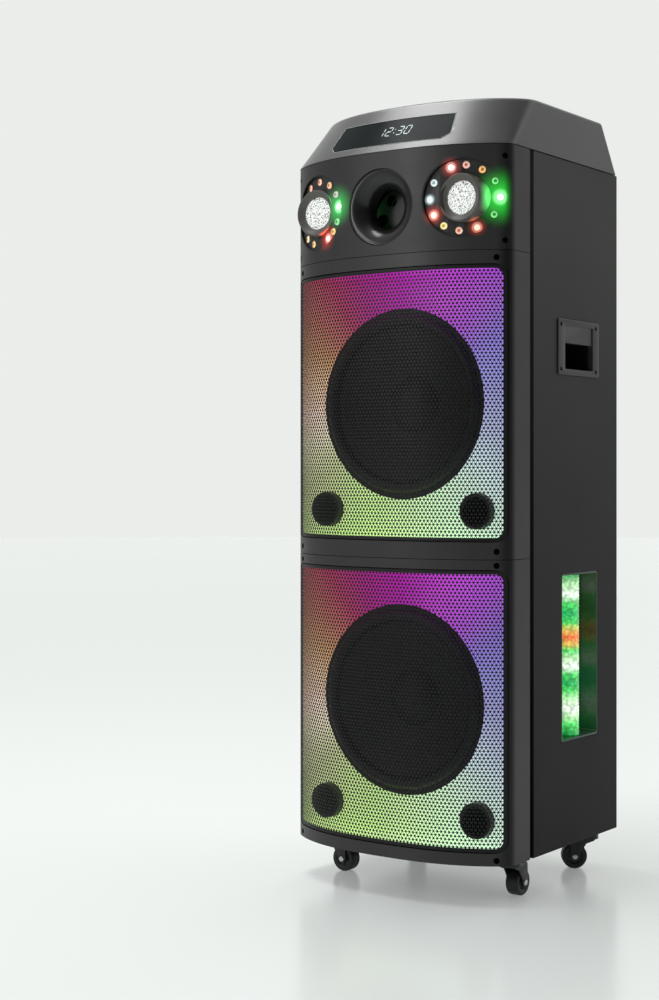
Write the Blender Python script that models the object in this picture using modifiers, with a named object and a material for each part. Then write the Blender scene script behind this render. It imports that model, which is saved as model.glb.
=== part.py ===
"""A party speaker: a tall two-woofer tower on castors with a bubble maker and spotlights in its head.

Metres, +Z up. The front faces -Y. The origin is on the floor, under the middle of the tower.
"""

import math

import bmesh
import bpy

# Overall size
HEIGHT = 1.186
BODY_HALF_WIDTH = 0.193
BODY_REAR = 0.1955
CAP_HALF_WIDTH = 0.1945
CAP_REAR = 0.1975
FRONT = -0.1975

# Levels of the seams between the mouldings
BODY_BOTTOM = 0.060
MODULE_SEAM = 0.504
HEAD_SEAM = 0.9535
CAP_SEAM = 1.107

# Plan of the bowed front: flat in the middle, turning back towards the sides
CURVE_DEPTH = 0.060
CURVE_POWER = 2.7
CURVE_ROUNDNESS = 1.12
CURVE_STEPS = 20
CHEEK_REAR = -0.0875
PANEL_FRONT = -0.0765

# Walls and gaps
GAP = 0.0004
SEAM_GAP = 0.0008
SKIN = 0.004
BOARD = 0.012
TONGUE_OUTER = 0.1885
TONGUE_FRONT = -0.131
BAFFLE_THICK = 0.015
BOARD_HALF_WIDTH = BODY_HALF_WIDTH - BOARD - GAP
REAR_PANEL_INNER = 0.1795
THROUGH = 0.01

# Grille openings
OPENING_HALF_WIDTH = 0.1885
OPENING_CORNER = 0.017
GRILLE_RECESS = 0.0015
GRILLE_THICK = 0.0016
LIGHT_PANEL_FRONT = -0.137
LIGHT_PANEL_THICK = 0.0024
LIGHT_PANEL_HALF_WIDTH = 0.1825
LIGHT_PANEL_MARGIN = 0.007

# Each speaker module: seam below, seam above, grille opening, woofer and port heights
MODULES = {
    "lower": {
        "floor": BODY_BOTTOM,
        "roof": MODULE_SEAM,
        "opening": (0.0785, 0.489),
        "woofer": 0.2864,
        "port": 0.120,
    },
    "upper": {
        "floor": MODULE_SEAM,
        "roof": HEAD_SEAM,
        "opening": (0.529, 0.933),
        "woofer": 0.7341,
        "port": 0.5734,
    },
}

# Woofer, measured from the front of its flange
FLANGE_RADIUS = 0.1525
FLANGE_THICK = 0.0027
BASKET_RADIUS = 0.1405
SURROUND_RADIUS = 0.1415
ROLL_RADIUS = 0.1275
ROLL_HALF_WIDTH = 0.0085
SURROUND_THICK = 0.0012
CONE_RADIUS = 0.1175
COIL_RADIUS = 0.034
MAGNET_RADIUS = 0.085
WOOFER_DEPTH = 0.125
WOOFER_STEPS = 32

# Port tubes
PORT_X = 0.1354
PORT_RADIUS = 0.0265
PORT_BORE = 0.0205
PORT_FRONT = -0.1495
PORT_REAR = -0.040

# Head: three round fittings in a row
OUTLET_Z = 1.025
OUTLET_RADIUS = 0.057
SPOT_X = 0.1295
SPOT_Z = 1.0295
SPOT_RADIUS = 0.0572
SPOT_RECESS = 0.006
SPOT_RIM = 0.0022
COLLAR_FRONT = -0.183
COLLAR_RADIUS = 0.0365
COLLAR_DEPTH = 0.034
LENS_SEAT = -0.1735
LENS_RADIUS = 0.0245

# Bubble maker
WAND_CENTRE = (0, -0.138, 1.0145)
WAND_WHEEL_RADIUS = 0.0455
WAND_WHEEL_THICK = 0.005
WAND_CIRCLE = 0.0325
WAND_BORE = 0.0095
WAND_COUNT = 6
FAN_CENTRE = (0, -0.098, OUTLET_Z)
FAN_HUB_RADIUS = 0.014
FAN_RADIUS = 0.038
FAN_BLADES = 6
FAN_PITCH = math.radians(28)
SHROUD_RADIUS = 0.043
SHROUD_STRUTS = 3
TANK_HALF_WIDTH = 0.075
TANK_Y = (-0.1545, -0.120)
TANK_HEIGHT = 0.030
TANK_WALL = 0.003

# Top cap
CAP_SKIN = 0.006
CAP_TOP_HALF_WIDTH = 0.186
CAP_TOP_FRONT = -0.1345
CAP_TOP_REAR = 0.1635
CAP_TOP_DEPTH = 0.078
CAP_TOP_POWER = 2.4
CAP_TOP_ROUNDNESS = 1.4
CAP_REAR_CORNER = 0.012
CONTROLS_HALF = (0.100, 0.042)
CONTROLS_Y = 0.012
CONTROLS_DEPTH = 0.013
CONTROL_HEIGHT = 0.0115
KNOB_X = 0.060
KNOB_RADIUS = 0.0185
BUTTON_X = -0.055
BUTTON_RADIUS = 0.0095
BUTTON_TRAVEL = 0.0015
FILLER_Y = 0.112
FILLER_RADIUS = 0.022
FILLER_WELL_RADIUS = 0.026

# Display in the slope of the cap
WINDOW_Z = (1.118, 1.162)
WINDOW_HALF_TOP = 0.100
WINDOW_HALF_BOTTOM = 0.107
WINDOW_CUT = (0.011, 0.009)
WINDOW_FACE_INSET = 0.0008
WINDOW_REAR_INSET = 0.0040
WINDOW_POCKET_INSET = 0.0045

# Side handle and side light
HANDLE_Y = (-0.004, 0.1288)
HANDLE_Z = (0.779, 0.864)
HANDLE_OPENING = (0.091, 0.067)
HANDLE_WALL = 0.003
HANDLE_PLATE = 0.002
HANDLE_DEPTH = 0.045
GRIP_HEIGHT = 0.027
GRIP_THICK = 0.012
GRIP_RECESS = 0.004
GRIP_EDGE = 0.010
LIGHT_Y = (0.0101, 0.1288)
LIGHT_Z = (0.220, 0.476)
LIGHT_DEPTH = 0.038
LIGHT_WALL = 0.003
LIGHT_TUBE_RADIUS = 0.015
LIGHT_TUBE_X = 0.175

# Rear service panel
SERVICE_X = (-0.095, 0.095)
SERVICE_Z = (0.180, 0.330)
SERVICE_THICK = 0.0015
SERVICE_LIP = 0.012
SERVICE_ROW = 0.215
INLET_X = 0.055
INLET_FLANGE = (0.025, 0.0025, 0.0155)
INLET_BODY = (0.0145, 0.022, 0.011)
INLET_SOCKET = (0.012, 0.018, 0.0085)
SWITCH_X = 0.010
SWITCH_HALF = (0.0065, 0.0042, 0.010)
SWITCH_HOLE = (0.0075, 0.0115)
SWITCH_TILT = math.radians(-7)

# Castors: place of each swivel and the way its wheel trails
WHEEL_RADIUS = 0.020
WHEEL_WIDTH = 0.021
WHEEL_EDGE = 0.003
HUB_RECESS = 0.0015
AXLE_RADIUS = 0.003
TRAIL = 0.022
CASTOR_PLATE = 0.038
PLATE_THICK = 0.002
RACE_RADIUS = 0.015
FORK_RADIUS = 0.017
FORK_HEIGHT = 0.008
CHEEK_GAP = 0.0008
CHEEK_THICK = 0.0022
AXLE_EYE = 0.007
CASTORS = {
    "castor_front_left": (-0.160, -0.088, math.radians(-90)),
    "castor_front_right": (0.160, -0.088, 0),
    "castor_rear_left": (-0.163, 0.153, math.radians(-140)),
    "castor_rear_right": (0.163, 0.153, math.radians(126)),
}

SIDES = ((-1, "left"), (1, "right"))

FRONTWARDS = (math.pi / 2, 0, 0)
SIDEWAYS = (0, math.pi / 2, 0)


def clear_scene():
    for obj in list(bpy.data.objects):
        bpy.data.objects.remove(obj, do_unlink=True)


def new_collection(name):
    collection = bpy.data.collections.new(name)
    bpy.context.scene.collection.children.link(collection)
    return collection


clear_scene()
PARTS = new_collection("party_speaker")
CUTTERS = new_collection("cutters")


def material(name, colour, roughness, metallic=0.0, glow=0.0):
    made = bpy.data.materials.new(name)
    made.use_nodes = True
    shader = made.node_tree.nodes["Principled BSDF"]
    shader.inputs["Base Color"].default_value = (*colour, 1)
    shader.inputs["Roughness"].default_value = roughness
    shader.inputs["Metallic"].default_value = metallic
    shader.inputs["Emission Color"].default_value = (*colour, 1)
    shader.inputs["Emission Strength"].default_value = glow
    return made


CHARCOAL = material("charcoal_plastic", (0.045, 0.045, 0.047), 0.45)
BLACK = material("black_plastic", (0.012, 0.012, 0.013), 0.4)
WRAP = material("cabinet_wrap", (0.04, 0.04, 0.04), 0.6)
MDF = material("board", (0.35, 0.25, 0.16), 0.8)
STEEL_MESH = material("grille_steel", (0.03, 0.03, 0.032), 0.5, 0.6)
LIT_PANEL = material("lit_reflector", (0.5, 0.3, 0.6), 0.4, 0.0, 0.8)
CAST = material("woofer_frame", (0.05, 0.05, 0.05), 0.5, 0.5)
RUBBER = material("rubber", (0.015, 0.015, 0.015), 0.8)
CONE = material("woofer_cone", (0.02, 0.02, 0.022), 0.6)
SMOKED = material("display_glass", (0.01, 0.015, 0.015), 0.1)
CRYSTAL = material("crystal", (0.85, 0.9, 0.9), 0.1)
TYRE = material("tyre", (0.012, 0.012, 0.012), 0.7)
ZINC = material("zinc", (0.6, 0.6, 0.62), 0.35, 1.0)
PANEL_METAL = material("service_panel", (0.08, 0.08, 0.085), 0.4, 0.8)


def place(name, mesh, look, location=(0, 0, 0), rotation=(0, 0, 0), parent=None):
    """A part when it has a look, a hidden cutter when it has none."""
    obj = bpy.data.objects.new(name, mesh)
    obj.location = location
    obj.rotation_euler = rotation
    obj.parent = parent
    if look is None:
        CUTTERS.objects.link(obj)
        obj.hide_render = True
        obj.display_type = "WIRE"
        return obj
    PARTS.objects.link(obj)
    mesh.materials.append(look)
    return obj


def empty(name, location, rotation=(0, 0, 0), parent=None):
    obj = bpy.data.objects.new(name, None)
    obj.location = location
    obj.rotation_euler = rotation
    obj.parent = parent
    PARTS.objects.link(obj)
    return obj


def mesh_from(bm, name):
    mesh = bpy.data.meshes.new(name)
    bm.to_mesh(mesh)
    bm.free()
    return mesh


def box(name, look, low, high, parent=None):
    """A block between two corners, with its origin in its middle."""
    bm = bmesh.new()
    bmesh.ops.create_cube(bm, size=1)
    bmesh.ops.scale(bm, vec=[b - a for a, b in zip(low, high)], verts=bm.verts)
    middle = [(a + b) / 2 for a, b in zip(low, high)]
    return place(name, mesh_from(bm, name), look, middle, parent=parent)


def cylinder(name, look, centre, radius, length, rotation=(0, 0, 0), steps=24, top=None, parent=None):
    bm = bmesh.new()
    end = radius if top is None else top
    bmesh.ops.create_cone(bm, cap_ends=True, segments=steps, radius1=radius, radius2=end, depth=length)
    obj = place(name, mesh_from(bm, name), look, centre, rotation, parent)
    obj.data.shade_smooth()
    obj.data.set_sharp_from_angle(angle=math.radians(40))
    return obj


def turned(name, look, profile, centre=(0, 0, 0), rotation=(0, 0, 0), steps=24, ring=False, parent=None):
    """A profile of (radius, height) turned about its own +Z. A ring's profile closes on itself."""
    bm = bmesh.new()
    points = [bm.verts.new((radius, 0, height)) for radius, height in profile]
    for first, second in zip(points, points[1:]):
        bm.edges.new((first, second))
    if ring:
        bm.edges.new((points[-1], points[0]))
    obj = place(name, mesh_from(bm, name), look, centre, rotation, parent)
    screw = obj.modifiers.new("turn", "SCREW")
    screw.steps = steps
    screw.render_steps = steps
    screw.use_merge_vertices = True
    screw.merge_threshold = 0.00001
    return obj


def prism(name, look, outline, depth, centre=(0, 0, 0), rotation=(0, 0, 0), parent=None):
    """A flat outline in local X and Y, given half of its depth on each side of its own plane."""
    curve = bpy.data.curves.new(name, "CURVE")
    curve.dimensions = "2D"
    curve.fill_mode = "BOTH"
    curve.extrude = depth / 2
    spline = curve.splines.new("POLY")
    spline.points.add(len(outline) - 1)
    for point, (x, y) in zip(spline.points, outline):
        point.co = (x, y, 0, 1)
    spline.use_cyclic_u = True
    guide = bpy.data.objects.new(name, curve)
    CUTTERS.objects.link(guide)
    graph = bpy.context.evaluated_depsgraph_get()
    mesh = bpy.data.meshes.new_from_object(guide.evaluated_get(graph))
    bpy.data.objects.remove(guide)
    bm = bmesh.new()
    bm.from_mesh(mesh)
    bmesh.ops.remove_doubles(bm, verts=bm.verts, dist=0.00001)
    bmesh.ops.recalc_face_normals(bm, faces=bm.faces)
    bm.to_mesh(mesh)
    bm.free()
    return place(name, mesh, look, centre, rotation, parent)


def boolean(obj, other, operation="DIFFERENCE"):
    modifier = obj.modifiers.new(other.name, "BOOLEAN")
    modifier.operation = operation
    modifier.object = other
    return obj


def arc(centre, radius, start, end, steps):
    """Points on an arc, with its angles in degrees."""
    points = []
    for step in range(steps + 1):
        angle = math.radians(start + (end - start) * step / steps)
        points.append((centre[0] + radius * math.cos(angle), centre[1] + radius * math.sin(angle)))
    return points


def rounded_rectangle(half_x, half_y, radius, steps=4):
    outline = []
    for turn, (sx, sy) in enumerate([(1, 1), (-1, 1), (-1, -1), (1, -1)]):
        corner = (sx * (half_x - radius), sy * (half_y - radius))
        outline += arc(corner, radius, 90 * turn, 90 * turn + 90, steps)
    return outline


def bowed_edge(half_width, front, depth, power, roundness, steps=CURVE_STEPS):
    """Plan points along the bowed front, from the left side round to the right side."""
    points = []
    for step in range(steps + 1):
        across = math.sin(math.pi / 2 * (2 * step / steps - 1))
        fall = 1 - max(0.0, 1 - abs(across) ** power) ** (1 / roundness)
        points.append((half_width * across, front + depth * fall))
    return points


def body_front(inset):
    """The bowed front of the body, moved inwards."""
    depth = CURVE_DEPTH - inset
    return bowed_edge(BODY_HALF_WIDTH - inset, FRONT + inset, depth, CURVE_POWER, CURVE_ROUNDNESS)


def plan_prism(name, look, inset, rear, floor, roof):
    """The bowed plan, closed straight across at the rear, between two levels."""
    front = body_front(inset)
    half_width = front[-1][0]
    outline = front + [(half_width, rear), (-half_width, rear)]
    return prism(name, look, outline, roof - floor, (0, 0, (floor + roof) / 2))


def moulding_shell(name, look, floor, roof):
    """A front moulding: bowed front wall, side cheeks, and a wall below and above, open to the rear."""
    shell = plan_prism(name, look, 0, CHEEK_REAR, floor, roof)
    hollow = plan_prism(name + "_hollow", None, SKIN, 0, floor + SKIN, roof - SKIN)
    inside = BODY_HALF_WIDTH - SKIN
    low = (-inside, TONGUE_FRONT - GAP, floor - THROUGH)
    seat = box(name + "_seat", None, low, (inside, 0, roof + THROUGH))
    boolean(shell, hollow)
    return boolean(shell, seat)


def side_panel(side, name):
    """A board with a rebated front edge, which the mouldings' cheeks slip over."""
    inner = BODY_HALF_WIDTH - BOARD
    outline = [
        (inner, TONGUE_FRONT),
        (TONGUE_OUTER, TONGUE_FRONT),
        (TONGUE_OUTER, PANEL_FRONT),
        (BODY_HALF_WIDTH, PANEL_FRONT),
        (BODY_HALF_WIDTH, BODY_REAR),
        (inner, BODY_REAR),
    ]
    outline = [(side * x, y) for x, y in outline]
    roof = CAP_SEAM - SEAM_GAP
    panel = prism(name, WRAP, outline, roof - BODY_BOTTOM, (0, 0, (roof + BODY_BOTTOM) / 2))
    low, high = sorted((side * (inner - THROUGH), side * (BODY_HALF_WIDTH + THROUGH)))
    holes = {
        "handle_hole": handle_cup_extent(),
        "light_hole": (LIGHT_Y, LIGHT_Z),
    }
    for hole, ((y0, y1), (z0, z1)) in holes.items():
        boolean(panel, box(f"{name}_{hole}", None, (low, y0 - GAP, z0 - GAP), (high, y1 + GAP, z1 + GAP)))


def board(name, floor):
    """A horizontal board between the side panels."""
    half = BOARD_HALF_WIDTH
    return box(name, MDF, (-half, TONGUE_FRONT, floor), (half, REAR_PANEL_INNER - GAP, floor + BOARD))


def cabinet():
    for side, label in SIDES:
        side_panel(side, f"side_panel_{label}")
    board("bottom_board", BODY_BOTTOM)
    board("middle_shelf", MODULE_SEAM - BOARD / 2)
    board("upper_shelf", HEAD_SEAM - BOARD / 2)
    half = BOARD_HALF_WIDTH
    outside = REAR_PANEL_INNER + BOARD
    low = (-half, REAR_PANEL_INNER, BODY_BOTTOM)
    rear = box("rear_panel", MDF, low, (half, outside, CAP_SEAM - SEAM_GAP))
    (x0, x1), (z0, z1) = SERVICE_X, SERVICE_Z
    low = (x0 + SERVICE_LIP, REAR_PANEL_INNER - THROUGH, z0 + SERVICE_LIP)
    high = (x1 - SERVICE_LIP, outside + THROUGH, z1 - SERVICE_LIP)
    boolean(rear, box("rear_window", None, low, high))


def woofer_hole(name, radius, height):
    return cylinder(name, None, (0, TONGUE_FRONT, height), radius, 0.2, FRONTWARDS, WOOFER_STEPS)


def port_hole(name, side, height):
    centre = (side * PORT_X, TONGUE_FRONT, height)
    return cylinder(name, None, centre, PORT_RADIUS + GAP, 0.2, FRONTWARDS, 16)


def baffle(name, module):
    floor = module["floor"] + (BOARD if module["floor"] == BODY_BOTTOM else BOARD / 2) + GAP
    roof = module["roof"] - BOARD / 2 - GAP
    half = BOARD_HALF_WIDTH
    low = (-half, TONGUE_FRONT, floor)
    high = (half, TONGUE_FRONT + BAFFLE_THICK, roof)
    panel = box(name + "_baffle", MDF, low, high)
    boolean(panel, woofer_hole(name + "_baffle_woofer_hole", BASKET_RADIUS + 0.001, module["woofer"]))
    for side, label in SIDES:
        boolean(panel, port_hole(f"{name}_baffle_port_hole_{label}", side, module["port"]))


def light_panel(name, module):
    """The flat reflector round the woofer."""
    half = LIGHT_PANEL_HALF_WIDTH
    low = (-half, LIGHT_PANEL_FRONT, module["floor"] + LIGHT_PANEL_MARGIN)
    high = (half, LIGHT_PANEL_FRONT + LIGHT_PANEL_THICK, module["roof"] - LIGHT_PANEL_MARGIN)
    panel = box(name + "_light_panel", LIT_PANEL, low, high)
    boolean(panel, woofer_hole(name + "_light_woofer_hole", SURROUND_RADIUS + 0.003, module["woofer"]))
    for side, label in SIDES:
        boolean(panel, port_hole(f"{name}_light_port_hole_{label}", side, module["port"]))


def opening_prism(name, module, shrink):
    """The rounded rectangle of a grille opening, running front to back through the bowed wall."""
    z0, z1 = module["opening"]
    half = ((z1 - z0) / 2) - shrink
    outline = rounded_rectangle(OPENING_HALF_WIDTH - shrink, half, OPENING_CORNER - shrink)
    depth = TONGUE_FRONT - FRONT + 2 * THROUGH
    middle = (0, (FRONT + TONGUE_FRONT) / 2, (z0 + z1) / 2)
    return prism(name, None, outline, depth, middle, FRONTWARDS)


def bezel(name, module):
    roof = module["roof"] - SEAM_GAP
    shell = moulding_shell(name + "_bezel", CHARCOAL, module["floor"], roof)
    return boolean(shell, opening_prism(name + "_bezel_opening", module, 0))


def grille(name, module):
    """A thin bowed sheet that fills the opening of its bezel."""
    outer = body_front(GRILLE_RECESS)
    inner = body_front(GRILLE_RECESS + GRILLE_THICK)
    outline = outer + inner[::-1]
    z0, z1 = module["opening"]
    sheet = prism(name + "_grille", STEEL_MESH, outline, z1 - z0 + THROUGH, (0, 0, (z0 + z1) / 2))
    return boolean(sheet, opening_prism(name + "_grille_edge", module, GAP), "INTERSECT")


def woofer(name, height):
    """Frame with magnet, rubber surround and moving cone, each turned with +Z to the front."""
    seat = TONGUE_FRONT - GAP - FLANGE_THICK
    hub = empty(name + "_woofer", (0, seat, height), FRONTWARDS)
    frame_inside = [
        (0, -0.086),
        (0.070, -0.084),
        (0.128, -0.012),
        (0.137, -0.008),
        (0.137, 0),
    ]
    frame_outside = [
        (FLANGE_RADIUS, 0),
        (FLANGE_RADIUS, -FLANGE_THICK),
        (BASKET_RADIUS, -FLANGE_THICK),
        (BASKET_RADIUS, -0.010),
        (0.078, -0.088),
        (MAGNET_RADIUS, -0.090),
        (MAGNET_RADIUS, -WOOFER_DEPTH),
        (0, -WOOFER_DEPTH),
    ]
    frame = frame_inside + frame_outside
    turned(name + "_woofer_frame", CAST, frame, steps=WOOFER_STEPS, parent=hub)
    roll_inner = CONE_RADIUS + 0.0006
    lip = GAP + SURROUND_THICK
    surround = [(SURROUND_RADIUS, lip), (SURROUND_RADIUS, GAP), (0.1345, GAP)]
    surround += arc((ROLL_RADIUS, GAP - 0.0006), ROLL_HALF_WIDTH - 0.0017, 10, 170, 5)
    surround += [(roll_inner, GAP), (roll_inner, lip)]
    roll = arc((ROLL_RADIUS, GAP + 0.001), ROLL_HALF_WIDTH, 180, 0, 6)
    surround += [(max(radius, roll_inner + GAP), level) for radius, level in roll]
    turned(name + "_woofer_surround", RUBBER, surround, steps=WOOFER_STEPS, ring=True, parent=hub)
    dome = arc((0, -0.075), 0.0622, 90, 45, 4)
    cone = [(0, dome[0][1])] + dome[1:]
    cone += [
        (CONE_RADIUS - 0.002, 0.0015),
        (CONE_RADIUS, 0.0015),
        (CONE_RADIUS, -0.0006),
        (0.0445, -0.0345),
        (COIL_RADIUS, -0.036),
        (COIL_RADIUS, -0.074),
        (COIL_RADIUS - 0.0015, -0.074),
        (COIL_RADIUS - 0.0015, -0.038),
        (0, -0.036),
    ]
    turned(name + "_woofer_cone", CONE, cone, steps=WOOFER_STEPS, parent=hub)


def port_tube(name, side, height):
    length = PORT_REAR - PORT_FRONT
    flare = 0.004
    profile = [
        (PORT_RADIUS, 0),
        (PORT_RADIUS, -length),
        (PORT_BORE, -length),
        (PORT_BORE, -flare),
        (PORT_BORE + flare, 0),
    ]
    turned(name, BLACK, profile, (side * PORT_X, PORT_FRONT, height), FRONTWARDS, 16, ring=True)


def head_panel():
    """The head's moulding, with the bubble outlet in the middle and a seat for a spotlight on each side."""
    shell = moulding_shell("head_panel", CHARCOAL, HEAD_SEAM, CAP_SEAM - SEAM_GAP)
    reach = 0.14
    outlet = cylinder("outlet_hole", None, (0, FRONT, OUTLET_Z), OUTLET_RADIUS + GAP, reach, FRONTWARDS, 32)
    boolean(shell, outlet)
    for side, label in SIDES:
        seat = (side * SPOT_X, FRONT, SPOT_Z)
        boolean(shell, cylinder(f"spot_seat_{label}", None, seat, SPOT_RADIUS + GAP, reach, FRONTWARDS, 32))


def spotlight(side, label):
    """A shallow round tray that follows the bow, a collar that faces straight forward, and its lens."""
    name = f"spotlight_plate_{label}"
    axis_x = side * SPOT_X
    tall = 2 * SPOT_RADIUS + THROUGH
    outline = body_front(0) + body_front(SPOT_RECESS + SKIN)[::-1]
    plate = prism(name, CHARCOAL, outline, tall, (0, 0, SPOT_Z))
    disc = cylinder(name + "_edge", None, (axis_x, FRONT, SPOT_Z), SPOT_RADIUS, 0.2, FRONTWARDS, 32)
    boolean(plate, disc, "INTERSECT")
    outline = body_front(-SKIN) + body_front(SPOT_RECESS)[::-1]
    recess = prism(name + "_recess", None, outline, tall, (0, 0, SPOT_Z))
    inside = SPOT_RADIUS - SPOT_RIM
    disc = cylinder(name + "_inside", None, (axis_x, FRONT, SPOT_Z), inside, 0.2, FRONTWARDS, 32)
    boolean(recess, disc, "INTERSECT")
    boolean(plate, recess)
    middle = COLLAR_FRONT + COLLAR_DEPTH / 2
    rim = COLLAR_RADIUS - 0.002
    collar = cylinder(
        name + "_collar", None, (axis_x, middle, SPOT_Z), COLLAR_RADIUS, COLLAR_DEPTH, FRONTWARDS, 32, rim
    )
    boolean(plate, collar, "UNION")
    bore = LENS_RADIUS + GAP
    dish = [
        (0, LENS_SEAT),
        (bore, LENS_SEAT),
        (bore, LENS_SEAT - 0.005),
        (rim - 0.002, COLLAR_FRONT),
        (COLLAR_RADIUS, COLLAR_FRONT - THROUGH),
        (0, COLLAR_FRONT - THROUGH),
    ]
    dish = [(radius, -level) for radius, level in dish[::-1]]
    boolean(plate, turned(name + "_dish", None, dish, (axis_x, 0, SPOT_Z), FRONTWARDS, 32))
    lens_base = GAP
    dome = [(radius, 0.0045 + level) for radius, level in arc((0, -0.0405), 0.0470, 90, 58.6, 4)]
    lens = [(0, dome[0][1])] + dome[1:-1]
    lens += [(LENS_RADIUS, dome[-1][1]), (LENS_RADIUS, lens_base), (0, lens_base)]
    turned(f"spotlight_lens_{label}", CRYSTAL, lens, (axis_x, LENS_SEAT, SPOT_Z), FRONTWARDS, 24)


def bubble_maker():
    """Nozzle, wand wheel that dips into the fluid tank, and a fan behind it."""
    throat = 0.030
    depth = 0.034
    flare = 0.024
    wall = 0.004
    nozzle = [
        (OUTLET_RADIUS, 0),
        (OUTLET_RADIUS, -wall),
        (throat + wall, -flare - wall),
        (throat + wall, -depth),
        (throat, -depth),
        (throat, -flare),
        (0.0345, -0.0165),
        (0.0435, -0.0070),
        (OUTLET_RADIUS - 0.002, 0),
    ]
    turned("bubble_nozzle", BLACK, nozzle, (0, FRONT + 0.0025, OUTLET_Z), FRONTWARDS, 32, ring=True)
    bubble_wheel()
    bubble_fan()
    fluid_tank()


def bubble_wheel():
    """Wand rings joined to a hub by spokes, all in one flat plate."""
    hub = empty("bubble_wheel_axis", WAND_CENTRE, FRONTWARDS)
    thick = WAND_WHEEL_THICK
    wheel = cylinder("bubble_wheel", CRYSTAL, (0, 0, 0), WAND_WHEEL_RADIUS, thick, steps=36, parent=hub)
    for index in range(WAND_COUNT):
        angle = 2 * math.pi * index / WAND_COUNT
        centre = (WAND_CIRCLE * math.cos(angle), WAND_CIRCLE * math.sin(angle), 0)
        boolean(wheel, cylinder(f"wand_bore_{index}", None, centre, WAND_BORE, 0.02, steps=10, parent=hub))


def bubble_fan():
    """A bladed fan, and the shroud whose struts carry its motor."""
    hub = empty("bubble_fan_axis", FAN_CENTRE, FRONTWARDS)
    fan = cylinder("bubble_fan", BLACK, (0, 0, 0), FAN_HUB_RADIUS, 0.014, steps=18, parent=hub)
    for index in range(FAN_BLADES):
        arm = empty(f"fan_arm_{index}", (0, 0, 0), (0, 0, 2 * math.pi * index / FAN_BLADES), hub)
        low = (0.010, -0.0095, -0.0008)
        blade = box(f"fan_blade_{index}", None, low, (FAN_RADIUS, 0.0095, 0.0008), arm)
        blade.rotation_euler = (FAN_PITCH, 0, 0)
        boolean(fan, blade, "UNION")
    front = 0.010
    rear = -0.012
    wall = 0.003
    shroud = [
        (SHROUD_RADIUS, front),
        (SHROUD_RADIUS, rear),
        (SHROUD_RADIUS - wall, rear),
        (SHROUD_RADIUS - wall, front),
    ]
    housing = turned("fan_shroud", BLACK, shroud, ring=True, parent=hub)
    motor = cylinder("fan_motor", None, (0, 0, -0.022), 0.013, 0.026, steps=16, parent=hub)
    boolean(housing, motor, "UNION")
    for index in range(SHROUD_STRUTS):
        arm = empty(f"fan_strut_arm_{index}", (0, 0, 0), (0, 0, 2 * math.pi * index / SHROUD_STRUTS), hub)
        strut = box(f"fan_strut_{index}", None, (0.008, -0.003, -0.0115), (0.042, 0.003, -0.0095), arm)
        boolean(housing, strut, "UNION")


def fluid_tank():
    floor = HEAD_SEAM + BOARD / 2 + GAP
    front, rear = TANK_Y
    half = TANK_HALF_WIDTH
    tank = box("fluid_tank", BLACK, (-half, front, floor), (half, rear, floor + TANK_HEIGHT))
    low = (TANK_WALL - half, front + TANK_WALL, floor + TANK_WALL)
    high = (half - TANK_WALL, rear - TANK_WALL, floor + TANK_HEIGHT + THROUGH)
    boolean(tank, box("fluid_tank_hollow", None, low, high))


def cap_ring(bm, level, inset):
    """One level of the cap's outline as vertices. The share runs from 0 at the seam to 1 at the top."""
    share = (level - CAP_SEAM) / (HEIGHT - CAP_SEAM)

    def between(low, high):
        return low + (high - low) * share

    half = between(CAP_HALF_WIDTH, CAP_TOP_HALF_WIDTH) - inset
    front = between(FRONT, CAP_TOP_FRONT) + inset
    depth = between(CURVE_DEPTH, CAP_TOP_DEPTH) - inset
    power = between(CURVE_POWER, CAP_TOP_POWER)
    roundness = between(CURVE_ROUNDNESS, CAP_TOP_ROUNDNESS)
    rear = between(CAP_REAR, CAP_TOP_REAR) - inset
    radius = CAP_REAR_CORNER
    outline = bowed_edge(half, front, depth, power, roundness)
    outline += arc((half - radius, rear - radius), radius, 0, 90, 3)
    outline += arc((radius - half, rear - radius), radius, 90, 180, 3)
    return [bm.verts.new((x, y, level)) for x, y in outline]


def cap_loft(name, look, inset, floor, roof):
    """The cap's solid between two levels, with its sloping sides moved inwards."""
    bm = bmesh.new()
    lower = cap_ring(bm, floor, inset)
    upper = cap_ring(bm, roof, inset)
    count = len(lower)
    for i in range(count):
        j = (i + 1) % count
        bm.faces.new((lower[i], lower[j], upper[j], upper[i]))
    bm.faces.new(lower[::-1])
    bm.faces.new(upper)
    bmesh.ops.recalc_face_normals(bm, faces=bm.faces)
    return place(name, mesh_from(bm, name), look)


def window_prism(name, look, grow):
    """The display's outline run front to back through the slope: its lower corners are cut off."""
    z0, z1 = WINDOW_Z
    half = (z1 - z0) / 2 + grow
    top = WINDOW_HALF_TOP + grow
    bottom = WINDOW_HALF_BOTTOM + grow
    cut_x, cut_z = WINDOW_CUT
    right = [(bottom - cut_x, -half), (bottom, cut_z - half), (top, half)]
    outline = right + [(-x, z) for x, z in right[::-1]]
    return prism(name, look, outline, 0.08, (0, -0.160, (z0 + z1) / 2), FRONTWARDS)


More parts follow.
